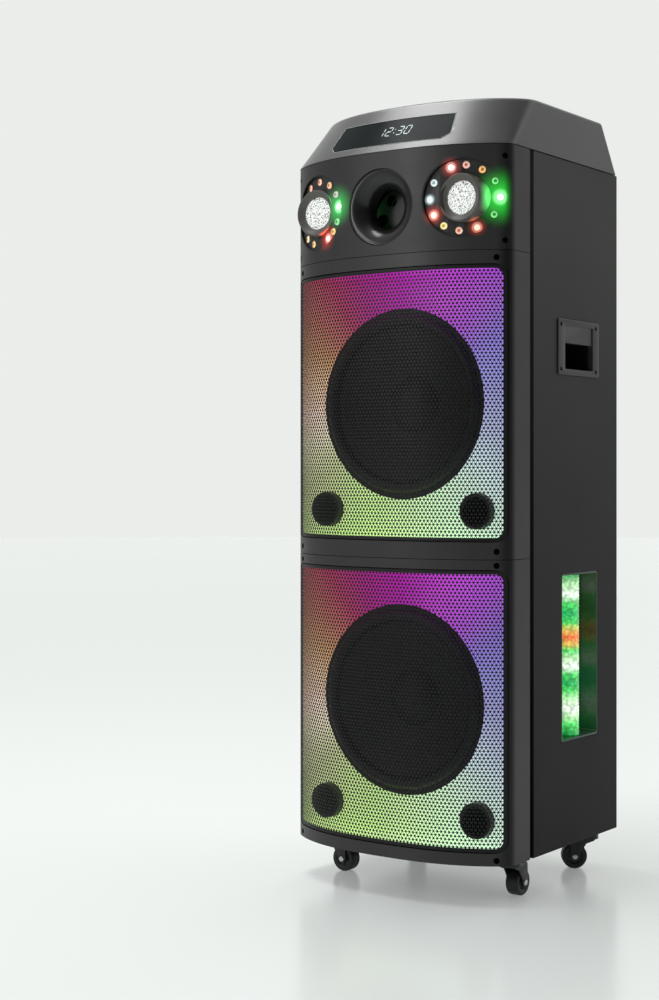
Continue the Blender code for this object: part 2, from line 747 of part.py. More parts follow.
def top_cap():
    """A sloping shell with a well for the controls, one for the filler cap, and a pocket for the display."""
    cap = cap_loft("top_cap", CHARCOAL, 0, CAP_SEAM, HEIGHT)
    x, y = CONTROLS_HALF
    floor = HEIGHT - CONTROLS_DEPTH
    above = HEIGHT + THROUGH
    below = CAP_SEAM - THROUGH
    well = box("controls_well", None, (-x, CONTROLS_Y - y, floor), (x, CONTROLS_Y + y, above))
    low = (-x - CAP_SKIN, CONTROLS_Y - y - CAP_SKIN, floor - CAP_SKIN)
    high = (x + CAP_SKIN, CONTROLS_Y + y + CAP_SKIN, above)
    around_well = box("around_controls_well", None, low, high)
    centre = (0, FILLER_Y, (floor + above) / 2)
    filler = cylinder("filler_well", None, centre, FILLER_WELL_RADIUS, above - floor)
    around_centre = (0, FILLER_Y, (floor - CAP_SKIN + above) / 2)
    around_length = above - floor + CAP_SKIN
    around_filler = cylinder(
        "around_filler_well", None, around_centre, FILLER_WELL_RADIUS + CAP_SKIN, around_length
    )
    hollow = cap_loft("cap_hollow", None, CAP_SKIN, below, HEIGHT - CAP_SKIN)
    boolean(hollow, around_well)
    boolean(hollow, around_filler)
    pocket = window_prism("window_pocket", None, GAP)
    boolean(pocket, cap_loft("window_pocket_floor", None, WINDOW_POCKET_INSET, below, above))
    boolean(cap, hollow)
    boolean(cap, well)
    boolean(cap, filler)
    boolean(cap, pocket)
    window = window_prism("display_window", SMOKED, 0)
    boolean(window, cap_loft("window_face", None, WINDOW_FACE_INSET, below, above), "INTERSECT")
    rear = cap_loft("window_rear", None, WINDOW_REAR_INSET, below - THROUGH, above + THROUGH)
    boolean(window, rear)


def controls():
    """Knob, button and filler cap, all below the cap's rim."""
    floor = HEIGHT - CONTROLS_DEPTH + GAP
    middle = floor + CONTROL_HEIGHT / 2
    top = floor + CONTROL_HEIGHT
    centre = (KNOB_X, CONTROLS_Y, middle)
    knob = cylinder("volume_knob", BLACK, centre, KNOB_RADIUS, CONTROL_HEIGHT, top=KNOB_RADIUS - 0.0015)
    low = (KNOB_X - 0.0015, CONTROLS_Y - KNOB_RADIUS - 0.001, top - 0.0015)
    high = (KNOB_X + 0.0015, CONTROLS_Y - 0.006, top + THROUGH)
    boolean(knob, box("knob_groove", None, low, high))
    button_height = 0.006
    button_middle = floor + BUTTON_TRAVEL + button_height / 2
    button = (BUTTON_X, CONTROLS_Y, button_middle)
    cylinder("mode_button", BLACK, button, BUTTON_RADIUS, button_height, steps=20)
    filler = cylinder("filler_cap", BLACK, (0, FILLER_Y, middle), FILLER_RADIUS, CONTROL_HEIGHT)
    half_length = FILLER_RADIUS * 0.7
    for sign, label in ((-1, "front"), (1, "rear")):
        y = FILLER_Y + sign * 0.011
        low = (-half_length, y - 0.003, top - 0.0045)
        high = (half_length, y + 0.003, top + THROUGH)
        boolean(filler, box(f"filler_cap_grip_{label}", None, low, high))


def handle_cup_extent():
    """The cup's outside in Y and Z, where it passes through the side panel."""
    y = (HANDLE_Y[0] + HANDLE_Y[1]) / 2
    z = (HANDLE_Z[0] + HANDLE_Z[1]) / 2
    half_y = HANDLE_OPENING[0] / 2 + HANDLE_WALL
    half_z = HANDLE_OPENING[1] / 2 + HANDLE_WALL
    return (y - half_y, y + half_y), (z - half_z, z + half_z)


def side_block(name, look, side, x_range, y_range, z_range):
    """A block on one side of the tower, with its X range given as distances from the middle."""
    xs = sorted(side * x for x in x_range)
    low, high = zip(xs, y_range, z_range)
    return box(name, look, low, high)


def handle(side, label):
    """A plate on the panel with a cup behind it. A lip across the top of the opening is the grip."""
    name = f"handle_{label}"
    face = BODY_HALF_WIDTH + GAP
    outside = face + HANDLE_PLATE
    inside = BODY_HALF_WIDTH - HANDLE_DEPTH
    (y0, y1), (z0, z1) = handle_cup_extent()
    plate = side_block(name, BLACK, side, (face, outside), HANDLE_Y, HANDLE_Z)
    cup_x = (inside, face + HANDLE_PLATE / 2)
    cup = side_block(name + "_cup", None, side, cup_x, (y0, y1), (z0, z1))
    boolean(plate, cup, "UNION")
    inner_y = (y0 + HANDLE_WALL, y1 - HANDLE_WALL)
    low_z, high_z = z0 + HANDLE_WALL, z1 - HANDLE_WALL
    grip_z = high_z - GRIP_HEIGHT
    floor = inside + HANDLE_WALL
    above = outside + THROUGH
    hollows = {
        "mouth": ((floor, above), (low_z, grip_z)),
        "behind_grip": ((floor, face - GRIP_RECESS - GRIP_THICK), (low_z, high_z)),
        "above_grip": ((face - GRIP_RECESS, above), (grip_z - GRIP_EDGE, high_z)),
    }
    for hollow, (x_range, z_range) in hollows.items():
        boolean(plate, side_block(f"{name}_{hollow}", None, side, x_range, inner_y, z_range))


def side_light(side, label):
    """A tray set into the side panel, with an upright crystal tube in it."""
    inside = BODY_HALF_WIDTH - LIGHT_DEPTH
    (y0, y1), (z0, z1) = LIGHT_Y, LIGHT_Z
    outer_x = (inside, BODY_HALF_WIDTH - GAP)
    tray = side_block(f"side_light_tray_{label}", BLACK, side, outer_x, LIGHT_Y, LIGHT_Z)
    inner_x = (inside + LIGHT_WALL, BODY_HALF_WIDTH + THROUGH)
    inner_y = (y0 + LIGHT_WALL, y1 - LIGHT_WALL)
    inner_z = (z0 + LIGHT_WALL, z1 - LIGHT_WALL)
    boolean(tray, side_block(f"side_light_hollow_{label}", None, side, inner_x, inner_y, inner_z))
    middle = (side * LIGHT_TUBE_X, (y0 + y1) / 2, (z0 + z1) / 2)
    length = z1 - z0 - 2 * LIGHT_WALL - 2 * GAP
    cylinder(f"side_light_tube_{label}", CRYSTAL, middle, LIGHT_TUBE_RADIUS, length, steps=20)


def block_about(name, look, x, z, half_x, half_z, y_range):
    """A block through the rear panel, round a point in X and Z."""
    return box(name, look, (x - half_x, y_range[0], z - half_z), (x + half_x, y_range[1], z + half_z))


def service_panel():
    """Metal plate on the rear with the power inlet and the rocker switch."""
    (x0, x1), (z0, z1) = SERVICE_X, SERVICE_Z
    face = REAR_PANEL_INNER + BOARD + GAP
    outside = face + SERVICE_THICK
    plate = box("service_panel", PANEL_METAL, (x0, face, z0), (x1, outside, z1))
    through = (face - THROUGH, outside + THROUGH)
    row = SERVICE_ROW
    seat = outside + GAP
    half_x, thick, half_z = INLET_FLANGE
    inlet = block_about("power_inlet", BLACK, INLET_X, row, half_x, half_z, (seat, seat + thick))
    half_x, depth, half_z = INLET_BODY
    body = block_about("inlet_body", None, INLET_X, row, half_x, half_z, (seat - depth, seat + thick / 2))
    boolean(inlet, body, "UNION")
    boolean(plate, block_about("inlet_hole", None, INLET_X, row, half_x + GAP, half_z + GAP, through))
    half_x, depth, half_z = INLET_SOCKET
    deep = (seat - depth, seat + THROUGH)
    boolean(inlet, block_about("inlet_socket", None, INLET_X, row, half_x, half_z, deep))
    boolean(plate, block_about("switch_hole", None, SWITCH_X, row, *SWITCH_HOLE, through))
    pivot = empty("power_switch_axis", (SWITCH_X, face - 0.001, row), (SWITCH_TILT, 0, 0))
    half_x, half_y, half_z = SWITCH_HALF
    box("power_switch", BLACK, (-half_x, -half_y, -half_z), (half_x, half_y, half_z), pivot)


def castor(name, x, y, heading):
    """Plate, fork with its axle, and wheel. The wheel trails along local +Y, turned by the heading."""
    swivel = empty(name + "_swivel", (x, y, 0), (0, 0, heading))
    top = BODY_BOTTOM - GAP
    half = CASTOR_PLATE / 2
    low = (x - half, y - half, top - PLATE_THICK)
    plate = box(name + "_plate", ZINC, low, (x + half, y + half, top))
    race_height = 0.003
    race_middle = top - PLATE_THICK - 0.0005
    race = cylinder(name + "_race", None, (x, y, race_middle), RACE_RADIUS, race_height, steps=20)
    boolean(plate, race, "UNION")
    fork_top = race_middle - race_height / 2 - GAP
    bridge = fork_top - FORK_HEIGHT
    middle = (fork_top + bridge) / 2
    fork = cylinder(name + "_fork", BLACK, (0, 0, middle), FORK_RADIUS, FORK_HEIGHT, steps=20, parent=swivel)
    cheek_in = WHEEL_WIDTH / 2 + CHEEK_GAP
    cheek_out = cheek_in + CHEEK_THICK
    reach = TRAIL + 0.006
    low = (-cheek_out, -0.004, bridge - 0.003)
    crown = box(name + "_crown", None, low, (cheek_out, reach, bridge + 0.003), swivel)
    boolean(fork, crown, "UNION")
    outline = [(-0.012, bridge + 0.002), (reach, bridge + 0.002), (TRAIL + AXLE_EYE, WHEEL_RADIUS)]
    outline += arc((TRAIL, WHEEL_RADIUS), AXLE_EYE, -20, -160, 5)
    outline += [(0.006, bridge - 0.006)]
    upright = (math.pi / 2, 0, math.pi / 2)
    for side, label in SIDES:
        centre = (side * (cheek_in + cheek_out) / 2, 0, 0)
        cheek = prism(f"{name}_cheek_{label}", None, outline, CHEEK_THICK, centre, upright, swivel)
        boolean(fork, cheek, "UNION")
    hub = (0, TRAIL, WHEEL_RADIUS)
    axle_length = 2 * cheek_out + 0.001
    axle = cylinder(name + "_axle", None, hub, AXLE_RADIUS, axle_length, SIDEWAYS, 12, parent=swivel)
    boolean(fork, axle, "UNION")
    half_width = WHEEL_WIDTH / 2
    right_half = [
        (AXLE_RADIUS + GAP, half_width - HUB_RECESS),
        (0.0115, half_width - HUB_RECESS),
        (0.0125, half_width),
        (0.018, half_width),
        (WHEEL_RADIUS, half_width - WHEEL_EDGE),
    ]
    tread = right_half + [(radius, -level) for radius, level in right_half[::-1]]
    turned(name + "_wheel", TYRE, tread, hub, SIDEWAYS, ring=True, parent=swivel)


def build():
    cabinet()
    for name, module in MODULES.items():
        baffle(name, module)
        light_panel(name, module)
        bezel(name, module)
        grille(name, module)
        woofer(name, module["woofer"])
        for side, label in SIDES:
            port_tube(f"{name}_port_{label}", side, module["port"])
    head_panel()
    bubble_maker()
    top_cap()
    controls()
    service_panel()
    for side, label in SIDES:
        spotlight(side, label)
        handle(side, label)
        side_light(side, label)
    for name, (x, y, heading) in CASTORS.items():
        castor(name, x, y, heading)


build()
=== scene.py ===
"""Looks of the party speaker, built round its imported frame. Metres, +Z up, the front faces -Y."""

import random
from bisect import bisect_right
from math import asin, cos, dist, hypot, pi, radians, sin, sqrt

import bmesh
import bpy
from mathutils import Matrix, Vector


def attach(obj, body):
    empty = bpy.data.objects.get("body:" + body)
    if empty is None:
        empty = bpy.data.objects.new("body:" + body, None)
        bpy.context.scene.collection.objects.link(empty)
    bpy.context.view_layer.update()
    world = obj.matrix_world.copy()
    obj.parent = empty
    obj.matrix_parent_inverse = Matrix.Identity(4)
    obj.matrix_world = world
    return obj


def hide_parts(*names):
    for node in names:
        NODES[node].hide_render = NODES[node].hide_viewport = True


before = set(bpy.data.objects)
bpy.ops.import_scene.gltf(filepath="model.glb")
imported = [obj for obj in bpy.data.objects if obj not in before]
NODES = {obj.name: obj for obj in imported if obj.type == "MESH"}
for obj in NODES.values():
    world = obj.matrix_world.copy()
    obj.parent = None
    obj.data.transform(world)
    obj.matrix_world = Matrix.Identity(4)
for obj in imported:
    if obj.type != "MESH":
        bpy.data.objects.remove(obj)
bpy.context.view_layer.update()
SCENE = bpy.context.scene

# The body's own dimensions, as the frame has them
HALF = 0.193
FRONT = -0.1975
DEPTH = 0.060
POWER = 2.7
ROUND = 1.12
CHEEK_REAR = -0.0875
TONGUE_FRONT = -0.131
HEAD_SEAM = 0.9535
CAP_SEAM = 1.107
TOP = 1.186
SEAM_GAP = 0.0008
SKIN = 0.004
EASE = 0.0075
CAP_BASE = (0.1945, -0.1975, 0.060, 2.7, 1.12, 0.1975)
CAP_TOP = (0.186, -0.1345, 0.078, 2.4, 1.4, 0.1635)
SIDES = ((-1, "left"), (1, "right"))
MODULES = {
    "lower": {"floor": 0.060, "roof": 0.504, "opening": (0.0785, 0.489), "woofer": 0.2864, "port": 0.120},
    "upper": {"floor": 0.504, "roof": 0.9535, "opening": (0.529, 0.933), "woofer": 0.7341, "port": 0.5734},
}
OPENING_HALF = 0.1885
OPENING_CORNER = 0.017
PORT_X = 0.1354
SPOT_X, SPOT_Z, SPOT_RADIUS = 0.1295, 1.0295, 0.0572
OUTLET_Z = 1.025


# ---------------------------------------------------------------- node trees

class Nodes:
    """A node tree. Wherever a node takes an input, that is a plain value or another node's output."""

    def __init__(self, tree):
        self.tree = tree

    def feed(self, socket, value):
        if isinstance(value, bpy.types.NodeSocket):
            self.tree.links.new(value, socket)
        else:
            socket.default_value = value

    def add(self, kind, inputs=(), **settings):
        made = self.tree.nodes.new("ShaderNode" + kind)
        for key, value in settings.items():
            setattr(made, key, value)
        for key, value in dict(inputs).items():
            self.feed(made.inputs[key], value)
        return made

    def calc(self, operation, a, b=None, **settings):
        inputs = {0: a} if b is None else {0: a, 1: b}
        return self.add("Math", inputs, operation=operation, **settings).outputs[0]

    def vector(self, operation, a, b=None):
        inputs = {0: a} if b is None else {0: a, "Scale" if operation == "SCALE" else 1: b}
        output = "Value" if operation in ("DOT_PRODUCT", "DISTANCE") else "Vector"
        return self.add("VectorMath", inputs, operation=operation).outputs[output]

    def span(self, value, low, high, to_low=0.0, to_high=1.0, smooth=False):
        """A range of values mapped onto another."""
        inputs = {"Value": value, "From Min": low, "From Max": high, "To Min": to_low, "To Max": to_high}
        kind = "SMOOTHSTEP" if smooth else "LINEAR"
        return self.add("MapRange", inputs, interpolation_type=kind).outputs["Result"]

    def mix(self, a, b, factor, kind="MIX"):
        inputs = {"Factor": factor, "A": a, "B": b}
        return self.add("Mix", inputs, data_type="RGBA", blend_type=kind).outputs["Result"]

    def ramp(self, value, stops):
        """Colours, or plain grey levels, along a value."""
        made = self.add("ValToRGB", {"Fac": value})
        elements = made.color_ramp.elements
        while len(elements) < len(stops):
            elements.new(0.5)
        for element, (position, colour) in zip(elements, stops):
            element.position = position
            element.color = (*(colour if isinstance(colour, tuple) else (colour,) * 3), 1)
        return made.outputs["Color"]


# ---------------------------------------------------------------- camera, floor, light

PALE = (0.826, 0.850, 0.826, 1)
OVERHEAD = [(0.0, 0.24), (0.30, 0.36), (0.62, 0.74), (1.0, 1.0)]
BACKDROP = ((-0.588, 0.809, 0.0), 0.62, 0.90)
# Direction, where the change starts and ends round it, and the level it reaches
PATCHES = (
    ((0.74, -0.63, 0.22), 0.40, 0.86, 0.08),
    ((0.42, 0.06, 0.905), 0.88, 0.98, 0.20),
    ((0.50, 0.82, 0.28), 0.50, 0.95, 2.0),
)


def camera():
    data = bpy.data.cameras.new("camera")
    data.lens = 61.4
    data.sensor_width = 36
    data.shift_y = -0.028
    obj = bpy.data.objects.new("camera", data)
    obj.location = (1.430, -2.292, 0.631)
    obj.rotation_euler = (radians(90), 0, radians(36))
    SCENE.collection.objects.link(obj)
    SCENE.camera = obj


def area_light(name, location, target, size, energy):
    data = bpy.data.lights.new(name, "AREA")
    data.shape = "RECTANGLE"
    data.size, data.size_y = size
    data.energy = energy
    obj = bpy.data.objects.new(name, data)
    obj.location = location
    obj.rotation_euler = (Vector(target) - Vector(location)).to_track_quat("-Z", "Y").to_euler()
    SCENE.collection.objects.link(obj)


def studio():
    """Pale surroundings, brightest overhead, with darker sides for the gloss to pick up."""
    world = bpy.data.worlds.new("studio")
    world.use_nodes = True
    nodes = Nodes(world.node_tree)
    direction = nodes.add("TexCoord").outputs["Generated"]
    height = nodes.add("SeparateXYZ", {"Vector": direction}).outputs["Z"]
    colour = nodes.ramp(height, [(position, (level, level * 1.01, level)) for position, level in OVERHEAD])
    aim, start, end = BACKDROP
    fade = nodes.span(nodes.vector("DOT_PRODUCT", direction, aim), start, end, smooth=True)
    colour = nodes.mix(colour, PALE, fade)
    for aim, start, end, level in PATCHES:
        change = nodes.span(nodes.vector("DOT_PRODUCT", direction, aim), start, end, 1.0, level, True)
        colour = nodes.vector("SCALE", colour, change)
    seen = nodes.mix(colour, PALE, nodes.add("LightPath").outputs["Is Camera Ray"])
    nodes.feed(world.node_tree.nodes["Background"].inputs["Color"], seen)
    SCENE.world = world
    SCENE.view_settings.view_transform = "Standard"
    area_light("overhead", (-0.62, -0.22, 2.8), (-0.05, -0.15, 1.15), (1.5, 0.8), 30)
    area_light("front_left", (-1.15, -2.9, 1.8), (0, -0.1, 0.95), (0.9, 1.6), 22)
    bm = bmesh.new()
    bmesh.ops.create_circle(bm, cap_ends=True, segments=96, radius=14)
    floor = build_object("floor", bm, "floor")


# ---------------------------------------------------------------- materials

class Shader(Nodes):
    """A Principled material, with procedural detail hung on object coordinates."""

    def __init__(self, name, colour, roughness, metallic=0.0):
        self.material = bpy.data.materials.new(name)
        self.material.use_nodes = True
        super().__init__(self.material.node_tree)
        self.shader = self.tree.nodes["Principled BSDF"]
        self.set("Base Color", (*colour, 1))
        self.set("Roughness", roughness)
        self.set("Metallic", metallic)
        self.place = self.add("TexCoord").outputs["Object"]

    def set(self, socket, value):
        self.feed(self.shader.inputs[socket], value)

    def axis(self, name):
        return self.add("SeparateXYZ", {"Vector": self.place}).outputs[name]

    def noise(self, scale, detail=3.0, stretch=(1, 1, 1)):
        mapping = self.add("Mapping", {"Vector": self.place, "Scale": stretch}).outputs["Vector"]
        return self.add("TexNoise", {"Vector": mapping, "Scale": scale, "Detail": detail}).outputs["Fac"]

    def voronoi(self, scale, feature="F1"):
        made = self.add("TexVoronoi", feature=feature)
        self.feed(made.inputs["Vector"], self.place)
        self.feed(made.inputs["Scale"], scale)
        return made.outputs["Distance"]

    def glow(self, colour, strength, coat=0.0):
        self.set("Emission Color", colour)
        self.set("Emission Strength", strength)
        self.set("Coat Weight", coat)

    def multiply(self, a, b, factor=1.0):
        return self.mix(a, b, factor, "MULTIPLY")

    def tint(self, colour, spread, scale, stretch=(1, 1, 1)):
        """Base colour that drifts by a share of itself."""
        low = tuple(c * (1 - spread) for c in colour)
        high = tuple(min(1, c * (1 + spread)) for c in colour)
        self.set("Base Color", self.ramp(self.noise(scale, 4, stretch), [(0.3, low), (0.7, high)]))

    def paint_corner_shade(self, level):
        """Painted shade: deepens the base colour where the bow turns into the cheeks, standing in for the
        dark reflection that falls along the turn.
        """
        across = self.span(self.calc("ABSOLUTE", self.axis("X")), 0.170, HALF)
        shade = self.ramp(across, [(0.20, 1.0), (0.70, level), (0.93, level), (0.985, 1.0)])
        tone = self.shader.inputs["Base Color"].links[0].from_socket
        self.set("Base Color", self.multiply(tone, shade))

    def vary_roughness(self, low, high, scale):
        self.set("Roughness", self.span(self.noise(scale, 3), 0.0, 1.0, low, high))

    def bump(self, height, strength, distance=0.001):
        inputs = {"Height": height, "Strength": strength, "Distance": distance}
        self.set("Normal", self.add("Bump", inputs).outputs["Normal"])


def plastic(name, colour, roughness, grain=900, depth=0.12, spread=0.10, specular=0.4, corners=1.0):
    made = Shader(name, colour, roughness)
    made.set("Specular IOR Level", specular)
    made.tint(colour, spread, 14)
    # A corners level below 1 paints shade into the turn of the bow
    if corners < 1.0:
        made.paint_corner_shade(corners)
    made.vary_roughness(roughness - 0.06, roughness + 0.06, 30)
    made.bump(made.noise(grain, 2), depth, 0.0004)
    return made.material


def metal(name, colour, roughness, stretch=(1, 1, 1)):
    made = Shader(name, colour, roughness, 1.0)
    made.tint(colour, 0.12, 60, stretch)
    made.vary_roughness(roughness - 0.08, roughness + 0.10, 80)
    made.bump(made.noise(500, 2, stretch), 0.08, 0.0003)
    return made.material


def matte(name, colour, roughness, spread, scale, grain, distance):
    """A dull surface with a fine grain, for board and rubber."""
    made = Shader(name, colour, roughness)
    made.tint(colour, spread, scale)
    made.bump(made.noise(grain, 2), 0.2, distance)
    return made.material


def wrap_material():
    """Vinyl wrap with a fine pebble, a drift in gloss, and painted shade: darker towards the floor, lighter
    towards the top.
    """
    made = Shader("cabinet_wrap", (0.026, 0.026, 0.026), 0.46)
    # Painted shade: the base colour darkens towards the floor by height
    painted_height_shade = [(0.05, (0.006, 0.0055, 0.006)), (0.5, (0.024, 0.023, 0.024)), (1.0, (0.062, 0.062, 0.061))]
    mottle = made.ramp(made.noise(5, 4), [(0.3, 0.90), (0.7, 1.0)])
    made.set("Base Color", made.multiply(made.ramp(made.axis("Z"), painted_height_shade), mottle))
    made.vary_roughness(0.42, 0.52, 9)
    made.set("Specular IOR Level", 0.12)
    made.bump(made.voronoi(850), 0.16, 0.0003)
    return made.material


def digit_material():
    colour, spread, scale = (0.50, 0.60, 0.60), 0.25, 400
    made = Shader("digit_light", colour, 0.25)
    made.tint(colour, spread, scale)
    low = tuple(c * (1 - spread) for c in colour)
    made.glow(made.ramp(made.noise(scale, 2), [(0.35, low), (0.65, colour)]), 0.36)
    return made.material


# Colours round a woofer, anticlockwise from three o'clock
HUES = [
    (0.00, (0.28, 0.28, 0.53)), (0.05, (0.22, 0.21, 0.53)), (0.09, (0.21, 0.14, 0.50)),
    (0.13, (0.32, 0.07, 0.50)), (0.18, (0.40, 0.05, 0.48)), (0.25, (0.36, 0.005, 0.33)),
    (0.31, (0.32, 0.010, 0.20)), (0.35, (0.35, 0.035, 0.10)), (0.39, (0.41, 0.13, 0.10)),
    (0.43, (0.49, 0.27, 0.13)), (0.47, (0.68, 0.46, 0.29)), (0.51, (0.80, 0.60, 0.50)),
    (0.55, (0.74, 0.68, 0.48)), (0.60, (0.50, 0.54, 0.28)), (0.65, (0.46, 0.62, 0.25)),
    (0.70, (0.47, 0.68, 0.26)), (0.76, (0.50, 0.70, 0.35)), (0.82, (0.50, 0.72, 0.46)),
    (0.87, (0.48, 0.64, 0.52)), (0.91, (0.45, 0.56, 0.60)), (0.96, (0.34, 0.38, 0.56)),
]


def rainbow_material(name, height):
    """A panel lit in a ring of colours round the woofer's axis."""
    made = Shader(name, (0.7, 0.7, 0.7), 0.35)
    angle = made.calc("ARCTAN2", made.calc("SUBTRACT", made.axis("Z"), height), made.axis("X"))
    half_turn = sorted([((p + 0.5) % 1.0, c) for p, c in HUES])
    edge = tuple((a + b) / 2 for a, b in zip(half_turn[0][1], half_turn[-1][1]))
    stops = [(0.0, edge)] + half_turn + [(1.0, edge)]
    patch = made.ramp(made.noise(7, 2), [(0.30, 0.86), (0.70, 1.0)])
    lit = made.multiply(made.ramp(made.span(angle, -pi, pi), stops), patch)
    made.set("Base Color", lit)
    made.glow(lit, 1.25)
    return made.material


def crystal_material():
    """Crackled crystal: bright cells, thin dark cracks between them, a few glints."""
    made = Shader("crackled_crystal", (0.85, 0.88, 0.86), 0.12)
    edges = made.voronoi(420, "DISTANCE_TO_EDGE")
    cracks = [(0.015, (0.03, 0.033, 0.03)), (0.07, (0.50, 0.53, 0.51)), (0.15, (0.96, 0.98, 0.95))]
    speck = made.ramp(made.noise(430, 1), [(0.35, 0.02), (0.40, 1.0)])
    lit = made.multiply(made.ramp(edges, cracks), speck, 0.9)
    made.set("Base Color", lit)
    made.glow(lit, 0.74, 0.6)
    made.bump(edges, 0.6, 0.002)
    return made.material


def tube_material():
    """The side tube: bands of green, white and orange light in ribbed crystal."""
    made = Shader("light_tube", (0.3, 0.6, 0.4), 0.12)
    green, pale, white = (0.08, 0.72, 0.14), (0.56, 0.96, 0.50), (0.90, 1.0, 0.88)
    amber, red = (0.90, 0.55, 0.12), (0.85, 0.16, 0.05)
    bands = [
        (0.00, (0.01, 0.30, 0.06)), (0.07, green), (0.12, pale), (0.17, white), (0.22, pale),
        (0.28, green), (0.33, (0.02, 0.40, 0.10)), (0.38, green), (0.43, white), (0.48, pale),
        (0.53, green), (0.57, amber), (0.61, red), (0.65, amber), (0.70, green),
        (0.76, (0.02, 0.45, 0.12)), (0.82, green), (0.88, white), (0.93, pale), (1.00, (0.01, 0.35, 0.08)),
    ]
    colour = made.ramp(made.span(made.axis("Z"), 0.2238, 0.4722), bands)
    facets = made.voronoi(170)
    lit = made.multiply(colour, made.ramp(facets, [(0.10, 1.0), (0.75, 0.35)]), 0.85)
    made.set("Base Color", lit)
    made.glow(lit, 1.3, 0.8)
    made.bump(facets, 0.5, 0.002)
    return made.material


def recess_material():
    """Glossy dark green recess, with the tube's green light painted on as a glow, strongest low down."""
    made = Shader("side_light_recess_painted_glow", (0.010, 0.030, 0.016), 0.14)
    made.tint((0.010, 0.030, 0.016), 0.3, 60)
    # Painted light: the tube's glow on the recess, as emission by height
    painted_tube_glow = [
        (0.0, (0.004, 0.030, 0.010)), (0.35, (0.006, 0.060, 0.022)), (0.55, (0.010, 0.040, 0.012)),
        (0.75, (0.016, 0.026, 0.006)), (1.0, (0.006, 0.022, 0.008)),
    ]
    made.glow(made.ramp(made.span(made.axis("Z"), 0.220, 0.476), painted_tube_glow), 0.5)
    return made.material


def handle_material():
    """Grained moulding, charcoal on the face, with painted shade that turns it black down in the cup."""
    made = Shader("handle_moulding_painted_shade", (0.05, 0.05, 0.05), 0.44)
    # Painted shade: the base colour goes near black with depth into the cup
    depth = made.span(made.calc("ABSOLUTE", made.axis("X")), 0.170, 0.1954)
    made.set("Base Color", made.ramp(depth, [(0.62, 0.003), (0.72, 0.038)]))
    made.vary_roughness(0.38, 0.50, 30)
    made.bump(made.noise(800, 2), 0.12, 0.0004)
    return made.material


def floor_material():
    made = Shader("floor", (0.58, 0.60, 0.59), 0.20)
    made.tint((0.58, 0.60, 0.59), 0.012, 0.8)
    made.set("Specular IOR Level", 0.35)
    made.glow((0.80, 0.835, 0.815, 1), 0.275)
    return made.material


CHARCOAL = (0.036, 0.035, 0.035)
MATERIALS = {
    # The bezel's corners level is painted shade along the turn into the cheeks
    "bezel": plastic("bezel_plastic", CHARCOAL, 0.38, specular=0.3, corners=0.25),
    "cap": plastic("cap_plastic", (0.045, 0.046, 0.045), 0.30, 1100, 0.08, specular=0.5),
    "black": plastic("black_plastic", (0.012, 0.012, 0.013), 0.36, 700, 0.10),
    "wrap": wrap_material(),
    "board": matte("bare_board", (0.30, 0.21, 0.13), 0.8, 0.25, 500, 1200, 0.0003),
    "mesh": plastic("powder_coated_steel", (0.012, 0.012, 0.013), 0.42, 1500, 0.15, specular=0.25),
    "cone": plastic("pulp_cone", (0.012, 0.013, 0.012), 0.60, 400, 0.30),
    "rubber": plastic("surround_rubber", (0.010, 0.010, 0.010), 0.50, 600, 0.15),
    "casting": metal("woofer_steel", (0.04, 0.04, 0.04), 0.45),
    "zinc": metal("zinc", (0.55, 0.56, 0.58), 0.30, (1, 12, 1)),
    "panel": metal("service_steel", (0.03, 0.03, 0.032), 0.40, (12, 1, 1)),
    "screw": metal("screw_steel", (0.006, 0.006, 0.007), 0.35),
    # Near black for the screw cups, and painted shade on faces picked out by darken
    "well": plastic("screw_well_and_painted_shade", (0.002, 0.002, 0.002), 0.6, specular=0.1),
    "smoked": plastic("smoked_window", (0.010, 0.014, 0.015), 0.16, 200, 0.01, 0.05, 0.02),
    "crystal": crystal_material(),
    "tyre": matte("tyre", (0.012, 0.012, 0.013), 0.55, 0.3, 120, 700, 0.0004),
    "hub": plastic("wheel_hub", (0.030, 0.030, 0.032), 0.42),
    "floor": floor_material(),
    "digits": digit_material(),
    "chrome": metal("lamp_ring", (0.50, 0.46, 0.42), 0.28),
    "bead": plastic("pale_marking", (0.30, 0.31, 0.31), 0.35, 500, 0.05),
    "inlay": plastic("control_inlay", (0.016, 0.016, 0.017), 0.30, 1400, 0.10),
    "handle": handle_material(),
    "horn": plastic("outlet_horn", (0.014, 0.014, 0.015), 0.22, 300, 0.03),
    "recess": recess_material(),
    "tube": tube_material(),
}


# ---------------------------------------------------------------- mesh helpers

FACING_FRONT = Matrix.Rotation(radians(90), 4, "X")
FACING_REAR = Matrix.Rotation(radians(-90), 4, "X")
TO_RIGHT = Matrix.Rotation(radians(90), 4, "Y")


def at(x, y, z):
    return Matrix.Translation((x, y, z))


def turned_to(normal):
    """Turns +Z to a normal."""
    return Vector(normal).to_track_quat("Z", "Y").to_matrix().to_4x4()


def link_object(name, mesh, material):
    """An object in the scene from a mesh. The material is one of MATERIALS, by name, or a new one."""
    obj = bpy.data.objects.new(name, mesh)
    SCENE.collection.objects.link(obj)
    return paint(obj, material) if material else obj


def build_object(name, bm, material=None, smooth=35):
    """An object in the scene from a bmesh, shaded smooth up to an angle."""
    mesh = bpy.data.meshes.new(name)
    bm.to_mesh(mesh)
    bm.free()
    mesh.shade_smooth()
    mesh.set_sharp_from_angle(angle=radians(smooth))
    return link_object(name, mesh, material)


def outward(bm, matrix=None):
    """Turns the faces outwards, then puts the whole in its place."""
    bmesh.ops.recalc_face_normals(bm, faces=bm.faces)
    bmesh.ops.transform(bm, matrix=matrix or Matrix(), verts=bm.verts)


